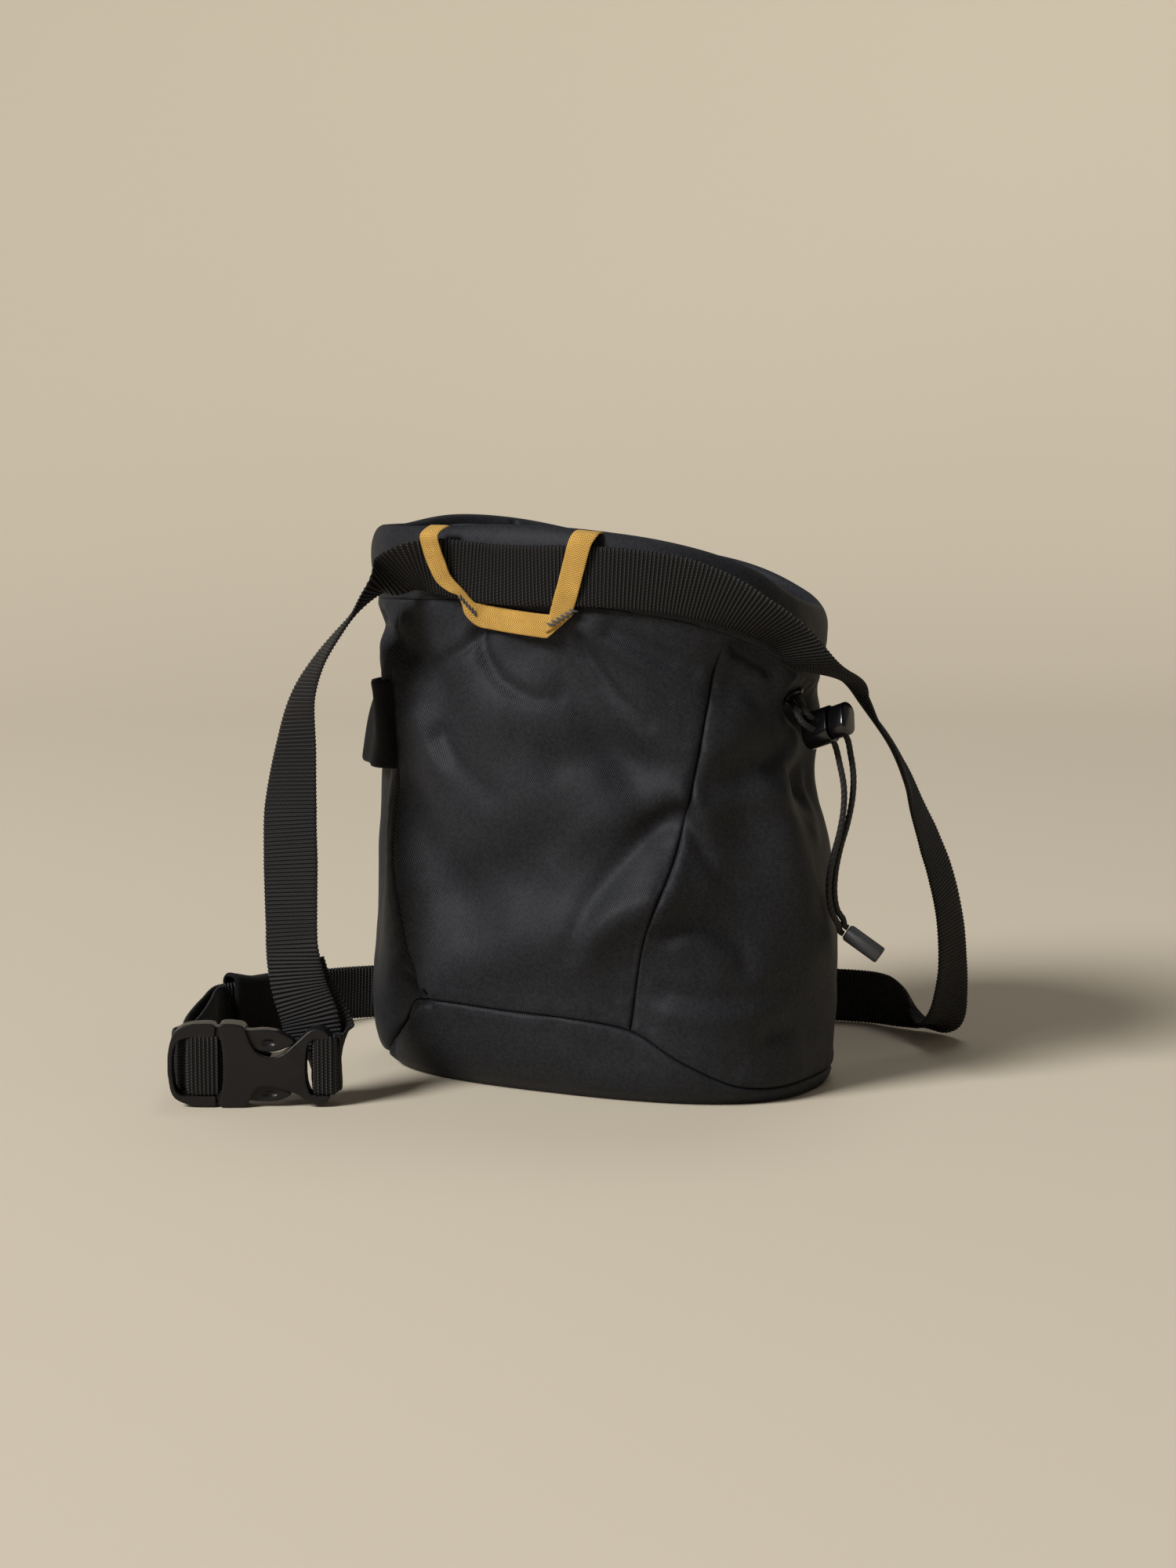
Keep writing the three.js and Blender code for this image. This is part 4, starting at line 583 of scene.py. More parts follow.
def panel(name, left, right, step=1.3):
    middle_left, middle_right = table_curve(left, 0.5), table_curve(right, 0.5)
    if middle_right < middle_left:
        middle_right = middle_right + 360
    wide = float(round_lay(middle_right) - round_lay(middle_left))
    columns, heights = edge_shares(wide, step), edge_shares(PANEL_RISE, step)
    share, column = np.meshgrid(heights, columns, indexing="ij")
    start, end = table_curve(left, share), table_curve(right, share)
    end = np.where(end < start, end + 360, end)
    angle = start + (end - start) * column
    low = base_seam(angle)
    at = low + (1 - low) * share
    plain = body_point(angle, at)
    along_x, side = from_edges(plain, 1)
    along_y, ends = from_edges(plain, 0)
    pucker = 0.3 * np.sin(along_y / 1.15 + 2 * soft_noise(plain, 9, 3)) * np.exp(-side / 4.5)
    pucker += 0.3 * np.sin(along_x / 1.25 + 2 * soft_noise(plain, 9, 8)) * np.exp(-ends / 4.5)
    lay = np.stack([round_lay(angle), at * LAY_RISE], -1)
    fine = crumple(plain, lay) + pucker
    seam_near = np.minimum(side, ends)
    fine *= steps_between(seam_near, 0, 2.5)
    fine += fine_relief(lay[..., 0] % girth[-1], lay[..., 1]) * (
        1 - 0.5 * np.exp(-seam_near / 1.5)
    )
    turn_in = rolled(seam_near)
    to_collar = steps_between(share * PANEL_RISE, *COLLAR_BLEND)
    turn_in *= 1 - 0.92 * to_collar
    outer = body_point(angle, at, turn_in - fine)
    inner = body_point(angle, at, CLOTH_WALL - np.minimum(fine, 0))
    piece, outside = shell(name, outer, inner, lay)
    return piece, outside


twill_finish, shader = new_finish("charcoal_twill", 0.6, Specular_IOR_Level=0.16)
across, along = weave_lay(twill_finish)
slant = maths(twill_finish, "ADD", across, maths(twill_finish, "MULTIPLY", along, 0.7))
ribs = rows(twill_finish, slant, 0.72)
floats = rows(
    twill_finish, maths(twill_finish, "SUBTRACT", along, maths(twill_finish, "MULTIPLY", across, 0.35)),
    0.52
)
twill = maths(twill_finish, "MULTIPLY", ribs, maths(twill_finish, "MULTIPLY_ADD", floats, 0.35, 0.65))
slub = grain(twill_finish, 900.0, 3.0, 0.6)
worn = grain(twill_finish, 22.0, 3.0, 0.55)
flecks = maths(twill_finish, "MULTIPLY_ADD", slub, 2.4, -0.7)
# The colour follows the twill's ribs and floats and is near black between them. This is partly the weave's
# own pattern and partly painted shade in the grooves, with painted highlight on the rib tops and floats.
thread = maths(
    twill_finish, "MULTIPLY", maths(twill_finish, "POWER", twill, 1.4),
    maths(twill_finish, "MULTIPLY_ADD", flecks, 0.9, 0.45)
)
tone = maths(twill_finish, "MULTIPLY_ADD", worn, 0.16, thread)
colour_by(twill_finish, shader, tint(twill_finish, tone, (0.0002, 0.0003, 0.0005), (0.038, 0.0395, 0.048)))
height = maths(twill_finish, "MULTIPLY_ADD", slub, 0.35, twill)
raise_by(twill_finish, shader, height, 0.00005, 0.5)

lining_finish, shader = new_finish("brushed_lining", 0.95, Sheen_Weight=0.6, Sheen_Roughness=0.6)
pile = grain(lining_finish, 420.0, 4.0, 0.7)
colour_by(lining_finish, shader, tint(lining_finish, pile, (0.004, 0.004, 0.0045), (0.016, 0.016, 0.017)))
raise_by(lining_finish, shader, pile, 0.0009, 0.8)

for name, node, left, right in (
    ("front_panel_cloth", "front_panel", SEAM_FRONT_LEFT, SEAM_FRONT_RIGHT),
    ("side_panel_right_cloth", "side_panel_right", SEAM_FRONT_RIGHT, SEAM_BACK_RIGHT),
    ("back_panel_cloth", "back_panel", SEAM_BACK_RIGHT, SEAM_BACK_LEFT),
    ("side_panel_left_cloth", "side_panel_left", SEAM_BACK_LEFT, SEAM_FRONT_LEFT),
):
    piece, outside = panel(name, left, right)
    piece.data.materials.append(twill_finish)
    piece.data.materials.append(lining_finish)
    for face in list(piece.data.polygons)[outside : 2 * outside]:
        face.material_index = 1
    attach(piece, "root")
    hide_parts(node)


# Base. One round-cornered piece of the same twill over a stiff board, whose edge turns up
# to the seam that is high at the front and back and low at both ends.
angles = []
for left, right in (
    (SEAM_FRONT_LEFT, SEAM_FRONT_RIGHT), (SEAM_FRONT_RIGHT, SEAM_BACK_RIGHT),
    (SEAM_BACK_RIGHT, SEAM_BACK_LEFT), (SEAM_BACK_LEFT, SEAM_FRONT_LEFT),
):
    start, end = left[0][1], right[0][1]
    end = end + 360 if end < start else end
    angles.append(np.linspace(start, end, 90, endpoint=False))
angles = np.concatenate(angles)
top = base_seam(angles)
rise = np.concatenate([np.linspace(0, 1, 22) ** 1.25, [0]])[:22]
seam_near = np.array([0.25, 0.6, 1.1, 1.8, 2.6]) / 30
rise = np.sort(np.concatenate([rise, 1 - seam_near]))
under = np.array([0, 0.15, 0.3, 0.45, 0.6, 0.72, 0.82, 0.9, 0.96])
outer_rows, inner_rows = [], []
edge = body_point(angles, 0 * angles)
for share in under:
    outer_rows.append(edge * share * np.array([1, 1, 0]) + np.array([0, 0, 0.0]))
    inside = body_point(angles, 0 * angles, CLOTH_WALL + 0 * angles) * share
    inside[:, 2] = BASE_WALL
    inner_rows.append(inside)
for share in rise:
    at = top * share
    plain = body_point(angles, at)
    below = (top - at) * neck_height(angles)
    wave = 0.35 * soft_noise(plain, 16, 4) + 0.18 * np.sin(round_lay(angles) / 1.3) * np.exp(-below / 4.5)
    wave *= steps_between(below, 0, 2.5) * steps_between(at, 0, 0.04)
    fine = fine_relief(round_lay(wrapped(angles)), at * LAY_RISE) * steps_between(at, 0, 0.04)
    outer_rows.append(body_point(angles, at, rolled(below) * steps_between(at, 0, 0.02) - wave - fine))
    low = BASE_WALL / neck_height(angles)
    inner_rows.append(body_point(angles, low + (top - low) * share, CLOTH_WALL - np.minimum(fine, 0)))
outer, inner = np.stack(outer_rows), np.stack(inner_rows)
lay_angle = np.append(angles, angles[0] + 360)
lay = np.zeros((len(outer), len(lay_angle), 2))
lay[..., 0] = round_lay(lay_angle)
lay[..., 1] = np.concatenate([-60 * (1 - under), 28 * rise])[:, None]
piece, outside = shell("base_cloth", outer, inner, lay, around=True)
spots = piece.data.uv_layers["weave"].data
for face in piece.data.polygons:
    if face.normal.z < -0.8 and face.center.z < 0.001:
        for k in face.loop_indices:
            x, y, _ = piece.data.vertices[piece.data.loops[k].vertex_index].co
            spots[k].uv = (x * 1000, y * 1000)
piece.data.materials.append(twill_finish)
piece.data.materials.append(lining_finish)
for face in piece.data.polygons:
    inward = face.center.z > BASE_WALL / 1000 - 1e-4 and Vector(face.center[:2]).dot(
        Vector(face.normal[:2])
    ) < 0
    if inward or (face.normal.z > 0.8 and face.center.z < 0.004):
        face.material_index = 1
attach(piece, "root")
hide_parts("base_panel")


# Collar. A ring of foam 4.6 mm thick in the same twill, sewn to the panels at the neck and
# closed by one butt seam at the back left. Its outside bulges a little.
COLLAR_WALL = 4.6
COLLAR_BULGE = 1.8
COLLAR_SEAM_ANGLE = 133
# In from the outside, height share, share of the bulge
COLLAR_SECTION = [
    (0.03, 0, 0), (0.005, 0.04, 0), (0, 0.2, 0.35), (0, 0.5, 1), (0, 0.76, 0.85), (0.08, 0.91, 0.35),
    (0.24, 0.975, 0), (0.5, 1, 0), (0.8, 0.97, 0), (0.97, 0.87, 0), (1, 0.6, 0), (1, 0.2, 0),
    (0.95, 0, 0), (0.5, 0.01, 0),
]


def collar_point(angle, up, inset):
    point, normal = outline(angle, np.ones_like(angle))
    swing = relief(angle, np.ones_like(angle)) * (1 - up / COLLAR_HEIGHT)
    point = point + normal * (swing - inset)[..., None]
    point[..., 2] = neck_height(angle) + up
    return point


section = np.array(
    [(COLLAR_WALL * i - COLLAR_BULGE * b, COLLAR_HEIGHT * u, 0) for i, u, b in COLLAR_SECTION]
)
loop, _, around_section = smooth_run(np.vstack([section, section[:1]]), 1.1)
loop, around_section = loop[:-1], around_section
collar_angles = np.linspace(COLLAR_SEAM_ANGLE, COLLAR_SEAM_ANGLE + 360, 400, endpoint=False)
rings = []
for inset, up, _ in loop:
    angle = collar_angles
    plain = collar_point(angle, np.full(400, up), np.full(400, inset))
    from_seam = np.abs(wrapped(angle - COLLAR_SEAM_ANGLE)) * 1.2
    dent = 0.9 * np.exp(-((from_seam / 1.1) ** 2))
    wave = 0.45 * soft_noise(plain, 17, 2) + 0.14 * soft_noise(plain, 6, 6)
    outward = math.cos(math.pi * min(max(inset / COLLAR_WALL, 0), 1))
    rings.append(collar_point(angle, np.full(400, up), inset + outward * (dent - wave)))
rings = np.stack(rings, 1)
lay = np.stack(np.broadcast_arrays(round_lay(collar_angles)[:, None], around_section[None, :-1]), -1)
count, size = rings.shape[:2]
faces = []
spots = []
for k in range(count):
    for i in range(size):
        n, j = (k + 1) % count, (i + 1) % size
        faces.append((k * size + i, k * size + j, n * size + j, n * size + i))
        u0 = lay[k, 0, 0]
        u1 = lay[n, 0, 0] if n else lay[0, 0, 0] + girth[-1]
        v0, v1 = around_section[i], around_section[i + 1]
        spots += [(u0, v0), (u0, v1), (u1, v1), (u1, v0)]
collar = made("collar_padding", rings.reshape(-1, 3), faces, np.array(spots))
collar.data.materials.append(twill_finish)
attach(collar, "root")
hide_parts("collar")


# Rim facing. A woven tape sewn inside the collar from its seam to just under the rim.
FACING_GAP = 0.5
FACING_WALL = 1.1
tape_finish, shader = new_finish("black_facing", 0.8, Sheen_Weight=0.3)
across, along = weave_lay(tape_finish)
cords = rows(tape_finish, across, 0.7)
picks = rows(tape_finish, along, 0.5)
woven = maths(tape_finish, "MULTIPLY", cords, maths(tape_finish, "MULTIPLY_ADD", picks, 0.4, 0.6))
colour_by(tape_finish, shader, tint(tape_finish, woven, (0.005, 0.005, 0.0055), (0.022, 0.022, 0.024)))
raise_by(tape_finish, shader, woven, 0.00018, 0.8)
heights = np.linspace(0.13, 0.86, 22) * COLLAR_HEIGHT
facing_angles = np.linspace(COLLAR_SEAM_ANGLE, COLLAR_SEAM_ANGLE + 360, 300, endpoint=False)
front, back = [], []
for up in heights:
    level = np.full(300, up)
    edge = min(up - heights[0], heights[-1] - up)
    thin = 0.45 * math.exp(-edge / 0.6)
    plain = collar_point(facing_angles, level, 0 * level)
    ripple = 0.15 * soft_noise(plain, 9, 7)
    back.append(collar_point(facing_angles, level, COLLAR_WALL + FACING_GAP + 0.1 + 0 * level))
    front.append(collar_point(facing_angles, level, COLLAR_WALL + FACING_GAP + FACING_WALL - thin + ripple))
facing_lay_angle = np.append(facing_angles, facing_angles[0] + 360)
lay = np.stack(np.broadcast_arrays(round_lay(facing_lay_angle)[None, :], heights[:, None]), -1)
facing, _ = shell("rim_facing_tape", np.stack(front), np.stack(back), lay, around=True)
facing.data.materials.append(tape_finish)
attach(facing, "root")
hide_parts("rim_facing")


# Belt. One length of 19 mm ribbed webbing, from the sewn tail behind the buckle's socket up
# and along the front of the collar, round the back on the ground, to the buckle's frame.
BELT_WIDTH = 19.0
BELT_THICKNESS = 1.4
BELT_RIB = 1.27
# Point of the middle line, and the direction across to its upper edge
BELT_ROUTE = [
    (-63.8, -87.4, 44.5, 0.93, 0.16, 0.35), (-62, -86, 36.5, 0.9, 0.2, 0.39),
    (-58, -83.7, 27, 0.72, 0.27, 0.63), (-53.6, -83.1, 18.5, 0.32, 0.17, 0.93),
    (-48.4, -87.4, 14.1, 0, 0, 1), (-48, -90.3, 13.5, 0, 0, 1), (-47.2, -92.5, 13.5, 0, 0, 1),
    (-49.5, -94.2, 13.5, 0, 0, 1), (-52.3, -95.1, 13.5, 0, 0, 1), (-53.9, -93, 13.5, 0, 0, 1),
    (-56.9, -88.7, 13.7, 0, 0, 1), (-57.8, -87.1, 18.1, 0.32, 0.17, 0.93),
    (-59.1, -87.3, 26, 0.72, 0.27, 0.63), (-61.9, -89.1, 36.5, 0.92, 0.21, 0.34),
    (-62.9, -91.7, 49.7, 0.99, 0.07, 0.15), (-63.8, -90.6, 56.7, 0.99, 0.05, 0.1),
    (-65.8, -87.6, 75.8, 0.99, 0.13, 0), (-67.9, -84.2, 92.9, 1, 0.08, 0),
    (-68.9, -79.6, 111.1, 0.97, -0.23, 0), (-68.8, -75.2, 128.2, 0.83, -0.56, 0),
    (-65.7, -70.4, 139.5, 0.68, -0.73, 0), (-56.5, -63.1, 154.9, 0.51, -0.86, 0.05),
    (-49.7, -60.3, 163.2, 0.36, -0.88, 0.3), (-45.7, -58, 166.9, -0.29, -0.8, 0.53),
    (-37.2, -58.2, 169.9, -0.15, -0.57, 0.81), (-28.5, -57, 170.3, -0.05, -0.27, 0.96),
    (-19.7, -56.4, 169.4, -0.01, -0.1, 0.99), (-12.1, -56.1, 168.6, 0, -0.03, 1),
    (-1.2, -56.1, 168.2, 0, 0, 1), (15.8, -55.7, 168.5, 0, 0, 1), (29.6, -53.8, 168.3, 0.01, -0.03, 1),
    (42, -50.8, 167.4, 0.04, -0.1, 0.99), (53.4, -46.9, 165.6, 0.12, -0.21, 0.97),
    (64.3, -42.1, 161.9, 0.32, -0.38, 0.87), (73.5, -36.3, 156.4, 0.6, -0.48, 0.64),
    (80.7, -28.1, 149.9, 0.82, -0.42, 0.37), (85.1, -17.8, 140.7, 0.96, -0.26, 0.1),
    (85, 7.8, 133.2, 0.55, -0.83, 0), (82.4, 33.2, 120.5, 0.47, -0.88, 0),
    (83, 49.7, 108.7, 0.42, -0.91, 0), (84, 60.5, 97.1, 0.33, -0.94, 0),
    (85.1, 67.9, 85.7, 0.18, -0.98, 0), (87.3, 73.6, 74.3, 0.03, -1, 0), (89.6, 78.2, 63.1, -0.04, -1, 0),
    (91.3, 81.5, 51.9, -0.07, -1, 0), (92.4, 83.2, 40.8, -0.11, -0.99, 0),
    (92.3, 84.8, 29, -0.14, -0.98, 0), (89.6, 88.5, 15.5, -0.3, -0.94, -0.05),
    (84.8, 93.3, 7.6, -0.45, -0.85, 0.1), (78, 98.6, 6, -0.42, -0.7, 0.5),
    (69.5, 103.5, 8.9, -0.25, -0.42, 0.87), (59.5, 108.7, 9.8, -0.08, -0.12, 0.99),
    (47.8, 112.6, 9.6, 0, 0, 1), (-6.3, 97, 9.6, 0, 0, 1), (-41.8, 78.7, 9.6, 0, 0, 1),
    (-80.9, 56.7, 9.6, 0, 0, 1), (-111, 38.4, 9.9, 0, 0, 1), (-125, 11.2, 11, 0, 0, 1),
    (-127.1, 4.6, 11, 0, 0, 1), (-135, -19.4, 11, 0, 0, 1), (-137.2, -26, 11, 0, 0, 1),
    (-128.3, -48.3, 10.8, 0, 0, 1), (-121.7, -62.2, 11, 0, 0, 1), (-113.3, -77.7, 11.8, 0, 0, 1),
    (-105.9, -89.9, 12.9, 0, 0, 1), (-100, -99.7, 13.5, 0, 0, 1), (-98.6, -106.6, 13.5, 0, 0, 1),
    (-93.3, -110.2, 13.5, 0, 0, 1), (-89, -112.5, 13.5, 0, 0, 1), (-87.6, -114, 13.5, 0, 0, 1),
    (-83.3, -112.5, 13.5, 0, 0, 1), (-79.6, -109.8, 13.5, 0, 0, 1), (-80.1, -107.8, 13.5, 0, 0, 1),
    (-82.2, -104, 13.5, 0, 0, 1), (-85.3, -102.9, 13.5, 0, 0, 1), (-90.6, -102.6, 13.5, 0, 0, 1),
    (-96.1, -98.7, 13.5, 0, 0, 1), (-109.6, -75.7, 11.8, 0, 0, 1), (-118.1, -60.3, 11, 0, 0, 1),
    (-125.5, -46.8, 10.8, 0, 0, 1), (-135.3, -26.6, 11, 0, 0, 1), (-133.1, -20, 11, 0, 0, 1),
    (-125.2, 4, 11, 0, 0, 1),
]


def strap(name, route, width, thickness, step, rib=0.0, ripple=0.0, scallop=0.0, ease=4.0, slants=(0, 0)):
    """A woven strap with rounded edges through stations of a point, a direction across and,
    where it is gathered, its share of the full width. A slant cuts an end at an angle."""
    route = np.asarray(route, float)
    points, where, along = smooth_run(route[:, :3], step)
    keys = np.arange(len(route))
    turned = np.column_stack([np.interp(where, keys, route[:, k]) for k in range(3, route.shape[1])])
    reach = max(1, round(ease / 2 / step))
    window = np.hanning(2 * reach + 3)
    held = np.pad(turned, ((reach + 1, reach + 1), (0, 0)), "edge")
    turned = np.column_stack([np.convolve(column, window / window.sum(), "valid") for column in held.T])
    share = turned[:, 3] if turned.shape[1] > 3 else np.ones(len(turned))
    run = unit(np.gradient(points, axis=0))
    across = turned[:, :3]
    across = unit(across - (across * run).sum(1, keepdims=True) * run)
    out = np.cross(run, across)
    places = np.array([-1, -0.985, -0.94, -0.86, -0.7, -0.35, 0, 0.35, 0.7, 0.86, 0.94, 0.985, 1])
    deep = np.sqrt(1 - np.abs(places) ** 10)
    ring_s = np.concatenate([places, places[-2:0:-1]])
    ring_f = np.concatenate([deep, -deep[-2:0:-1]])
    wave = np.cos(2 * math.pi * along / rib) if rib else 0 * along
    half = (width / 2 + scallop * wave) * share
    thick = thickness / 2 * (1 + ripple * wave) * (1 + 0.6 * (1 - share))
    slide = slants[0] * np.clip(1 - along / 8, 0, 1) + slants[1] * np.clip(
        1 - (along[-1] - along) / 8, 0, 1
    )
    slide = slide[:, None] * ring_s[None, :] * width / 2
    rings = (
        points[:, None]
        + across[:, None] * ring_s[None, :, None] * half[:, None, None]
        + out[:, None] * ring_f[None, :, None] * thick[:, None, None]
        + run[:, None] * slide[..., None]
    )
    lay = np.stack([0 * slide + ring_s[None, :] * width / 2, along[:, None] + slide], -1)
    return swept(name, rings, lay.reshape(-1, 2)), (points, across, out, along, where)


webbing_finish, shader = new_finish("ribbed_webbing", 0.55, Specular_IOR_Level=0.2)
across, along = weave_lay(webbing_finish)
ridge = rows(webbing_finish, along, BELT_RIB, math.pi / 2)
beads = rows(webbing_finish, maths(webbing_finish, "MULTIPLY_ADD", along, 0.5, across), 1.0)
plait = maths(
    webbing_finish, "MULTIPLY", maths(webbing_finish, "POWER", ridge, 1.6),
    maths(webbing_finish, "MULTIPLY_ADD", beads, 0.7, 0.3)
)
fuzz = grain(webbing_finish, 2500.0)
# The colour follows the ribs and is near black between them. This is partly the webbing's own weave and
# partly painted shade between the ribs, with painted highlight on their crests.
tone = maths(
    webbing_finish, "MULTIPLY_ADD", fuzz, 0.12,
    maths(webbing_finish, "MULTIPLY", maths(webbing_finish, "POWER", plait, 1.5), 0.95)
)
colour_by(
    webbing_finish, shader, tint(webbing_finish, tone, (0.0002, 0.0002, 0.0002), (0.052, 0.049, 0.051))
)
raise_by(webbing_finish, shader, plait, 0.00035, 1.0)

belt, _ = strap(
    "belt_webbing", BELT_ROUTE, BELT_WIDTH, BELT_THICKNESS, BELT_RIB / 5, BELT_RIB, 0.24, 0.14
)
belt.data.materials.append(webbing_finish)
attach(belt, "root")
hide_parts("belt")


# Gold tape. One 7.5 mm herringbone tape makes both belt loops: over the rim, down over the
# belt, along under it and up again, held by a bar tack at each corner.
TAPE_WIDTH = 7.5
TAPE_THICKNESS = 0.7
TAPE_LEFT_AND_BAR = [
    (-27.9, -57, 183.25, 0.98, -0.18, 0, 1), (-28, -57.8, 183.2, 0.98, -0.18, 0, 1),
    (-28.9, -62.2, 180.6, 0.98, -0.18, 0.03, 1), (-28.4, -61.4, 176, 0.98, -0.18, 0.08, 1),
    (-27.7, -59.6, 171.6, 0.96, -0.17, 0.2, 0.98), (-26.2, -58.4, 167.2, 0.93, -0.16, 0.34, 0.86),
    (-23.4, -57.7, 164.4, 0.84, -0.12, 0.52, 0.62), (-20.4, -57.2, 162.4, 0.8, -0.1, 0.6, 0.36),
    (-18.6, -56.4, 159.4, 0.78, -0.1, 0.62, 0.5), (-17.2, -55.7, 157, 0.6, -0.06, 0.8, 0.8),
    (-14.4, -54.8, 155.2, 0.22, -0.02, 0.97, 1), (-10, -54.3, 154.4, 0.13, 0, 0.99, 1),
    (-4.1, -54, 153.6, 0.12, 0, 0.99, 1), (7.1, -53.8, 152.5, 0.12, 0, 0.99, 1),
    (13.5, -53.8, 152.3, 0.1, 0, 0.99, 1),
]
TAPE_RIGHT = [
    (13.8, -54.8, 153.1, -0.96, -0.09, 0.27, 1), (15.4, -55.7, 157.8, -0.96, -0.09, 0.27, 1),
    (18.5, -57.4, 164.9, -0.96, -0.1, 0.27, 1), (20.6, -57.5, 172, -0.96, -0.12, 0.27, 1),
    (22.9, -57.4, 179.4, -0.97, -0.14, 0.24, 1), (23.7, -55.3, 181.7, -0.98, -0.15, 0.18, 1),
    (23.5, -52.6, 182.3, -0.99, -0.16, 0.08, 1), (23.2, -50.6, 181.8, -0.99, -0.16, 0, 1),
    (22.9, -49.6, 179.4, -0.99, -0.16, 0, 1),
]
gold_finish, shader = new_finish("gold_herringbone", 0.7, Sheen_Weight=0.05, Specular_IOR_Level=0.3)
across, along = weave_lay(gold_finish)
zone = maths(gold_finish, "PINGPONG", maths(gold_finish, "ADD", across, TAPE_WIDTH / 2), 1.25)
bones = rows(gold_finish, maths(gold_finish, "ADD", along, maths(gold_finish, "MULTIPLY", zone, 1.0)), 0.75)
yarns = rows(gold_finish, across, 0.42)
woven = maths(gold_finish, "MULTIPLY", bones, maths(gold_finish, "MULTIPLY_ADD", yarns, 0.35, 0.65))
cloudy = grain(gold_finish, 160.0)
# The colour follows the herringbone and is far darker between the yarns. This is partly the tape's own
# weave and partly painted shade between the yarns, with painted highlight on them.
tone = maths(gold_finish, "MULTIPLY_ADD", cloudy, 0.3, maths(gold_finish, "MULTIPLY", woven, 0.8))
colour_by(gold_finish, shader, tint(gold_finish, tone, (0.1, 0.034, 0.003), (1, 0.6, 0.13)))
raise_by(gold_finish, shader, woven, 0.0002, 0.9)
tape, _ = strap(
    "belt_loop_tape", TAPE_LEFT_AND_BAR, TAPE_WIDTH, TAPE_THICKNESS, 0.35, ease=2.0, slants=(0, 1.15)
)
right_leg, _ = strap(
    "tape_right_leg", TAPE_RIGHT, TAPE_WIDTH, TAPE_THICKNESS, 0.35, ease=2.0, slants=(-1.1, 0)
)
bpy.ops.object.select_all(action="DESELECT")
for part in (right_leg, tape):
    part.select_set(True)
bpy.context.view_layer.objects.active = tape
bpy.ops.object.join()
tape.data.materials.append(gold_finish)
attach(tape, "root")
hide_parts("loop_tape")


# Bar tacks. A short zigzag of dark grey thread across each folded corner of the gold tape.
LEFT_TACK = ((-20.6, -57.3, 161.2), (-15.4, -55.4, 155.2))
RIGHT_TACK = ((10.6, -55.5, 152.7), (20.4, -56.2, 158.2))
TACK_STITCHES = 6
thread_finish, shader = new_finish("grey_thread", 0.6, Sheen_Weight=0.3)
turn, along = weave_lay(thread_finish)
ply = rows(thread_finish, maths(thread_finish, "ADD", along, turn), 0.35)
colour_by(thread_finish, shader, tint(thread_finish, ply, (0.012, 0.012, 0.014), (0.07, 0.07, 0.078)))
raise_by(thread_finish, shader, ply, 0.00008)


def stitches(name, places, run, out, length, thickness, finish, node=None):
    """Short round stitches lying on a surface, each a bowed rod that dips in at both ends."""
    sides, steps = 6, 6
    turn = np.linspace(0, 2 * math.pi, sides, endpoint=False)
    share = np.linspace(-1, 1, steps)
    points, faces, lay = [], [], []
    for k, (place, way, up) in enumerate(zip(places, run, out)):
        side = np.cross(way, up)
        start = len(points)
        for s in share:
            middle = place + way * s * length / 2 + up * thickness * (0.45 - 0.9 * s**4)
            slim = thickness / 2 * (1 - 0.35 * s**4)
            for t in turn:
                points.append(middle + slim * (math.cos(t) * side + math.sin(t) * up))
                lay.append((t / 6.28, s * length / 2 + k))
        for a in range(steps - 1):
            for b in range(sides):
                c = (b + 1) % sides
                faces.append(
                    [
                        start + a * sides + b, start + a * sides + c, start + (a + 1) * sides + c,
                        start + (a + 1) * sides + b
                    ]
                )
        faces.append([start + b for b in range(sides)])
        faces.append([start + (steps - 1) * sides + b for b in range(sides)])
    piece = made(name, np.array(points), faces, np.array(lay))
    piece.data.materials.append(finish)
    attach(piece, "root")
    if node:
        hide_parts(node)
    return piece


def tack(name, ends, node):
    first, last = (np.array(end) for end in ends)
    share = (np.arange(TACK_STITCHES) + 0.5)[:, None] / TACK_STITCHES
    places = first + (last - first) * share
    line = unit(last - first)
    out = np.array([0, -1, 0.0])
    side = np.cross(line, out)
    ways = np.repeat(unit(0.8 * line + 0.6 * side)[None], TACK_STITCHES, 0)
    length = np.linalg.norm(last - first) / TACK_STITCHES * 1.75
    return stitches(
        name, places, ways, np.repeat(out[None], TACK_STITCHES, 0), length, 0.75, thread_finish,
        node
    )


tack("bar_tack_left_thread", LEFT_TACK, "bar_tack_left")
tack("bar_tack_right_thread", RIGHT_TACK, "bar_tack_right")


# Keeper. A sleeve of brushed elastic that holds the belt's free tail against its main run,
# with its two ends butted and overlocked on the hidden side.
KEEPER_AT = (-131.07, -7.4, 11.02)
KEEPER_HEADING = (-0.313, -0.95, 0)
KEEPER_LENGTH = 26
# How much wider one end stands open, all of it upwards from the ground
KEEPER_SLACK = 1.1
KEEPER_WALL = 1.0
RUN_GAP = 2.0
elastic_finish, shader = new_finish(
    "brushed_elastic", 0.9, Sheen_Weight=0.02, Sheen_Roughness=0.5, Specular_IOR_Level=0.15
)
across, along = weave_lay(elastic_finish)
knit = maths(
    elastic_finish, "MULTIPLY", rows(elastic_finish, across, 0.8), rows(elastic_finish, along, 0.6)
)
nap = grain(elastic_finish, 1400.0, 3.0, 0.6)
tone = maths(elastic_finish, "MULTIPLY_ADD", nap, 0.6, maths(elastic_finish, "MULTIPLY", knit, 0.4))
colour_by(elastic_finish, shader, tint(elastic_finish, tone, (0.0006, 0.0006, 0.0008), (0.01, 0.01, 0.012)))
raise_by(elastic_finish, shader, tone, 0.00025, 0.9)
heading = np.array(KEEPER_HEADING)
aside = np.array([-heading[1], heading[0], 0])
centre = np.array(KEEPER_AT) + aside * RUN_GAP / 2 + heading * 2.2
half_wide = RUN_GAP / 2 + BELT_THICKNESS / 2 + 0.3
half_high = BELT_WIDTH / 2 + 0.3


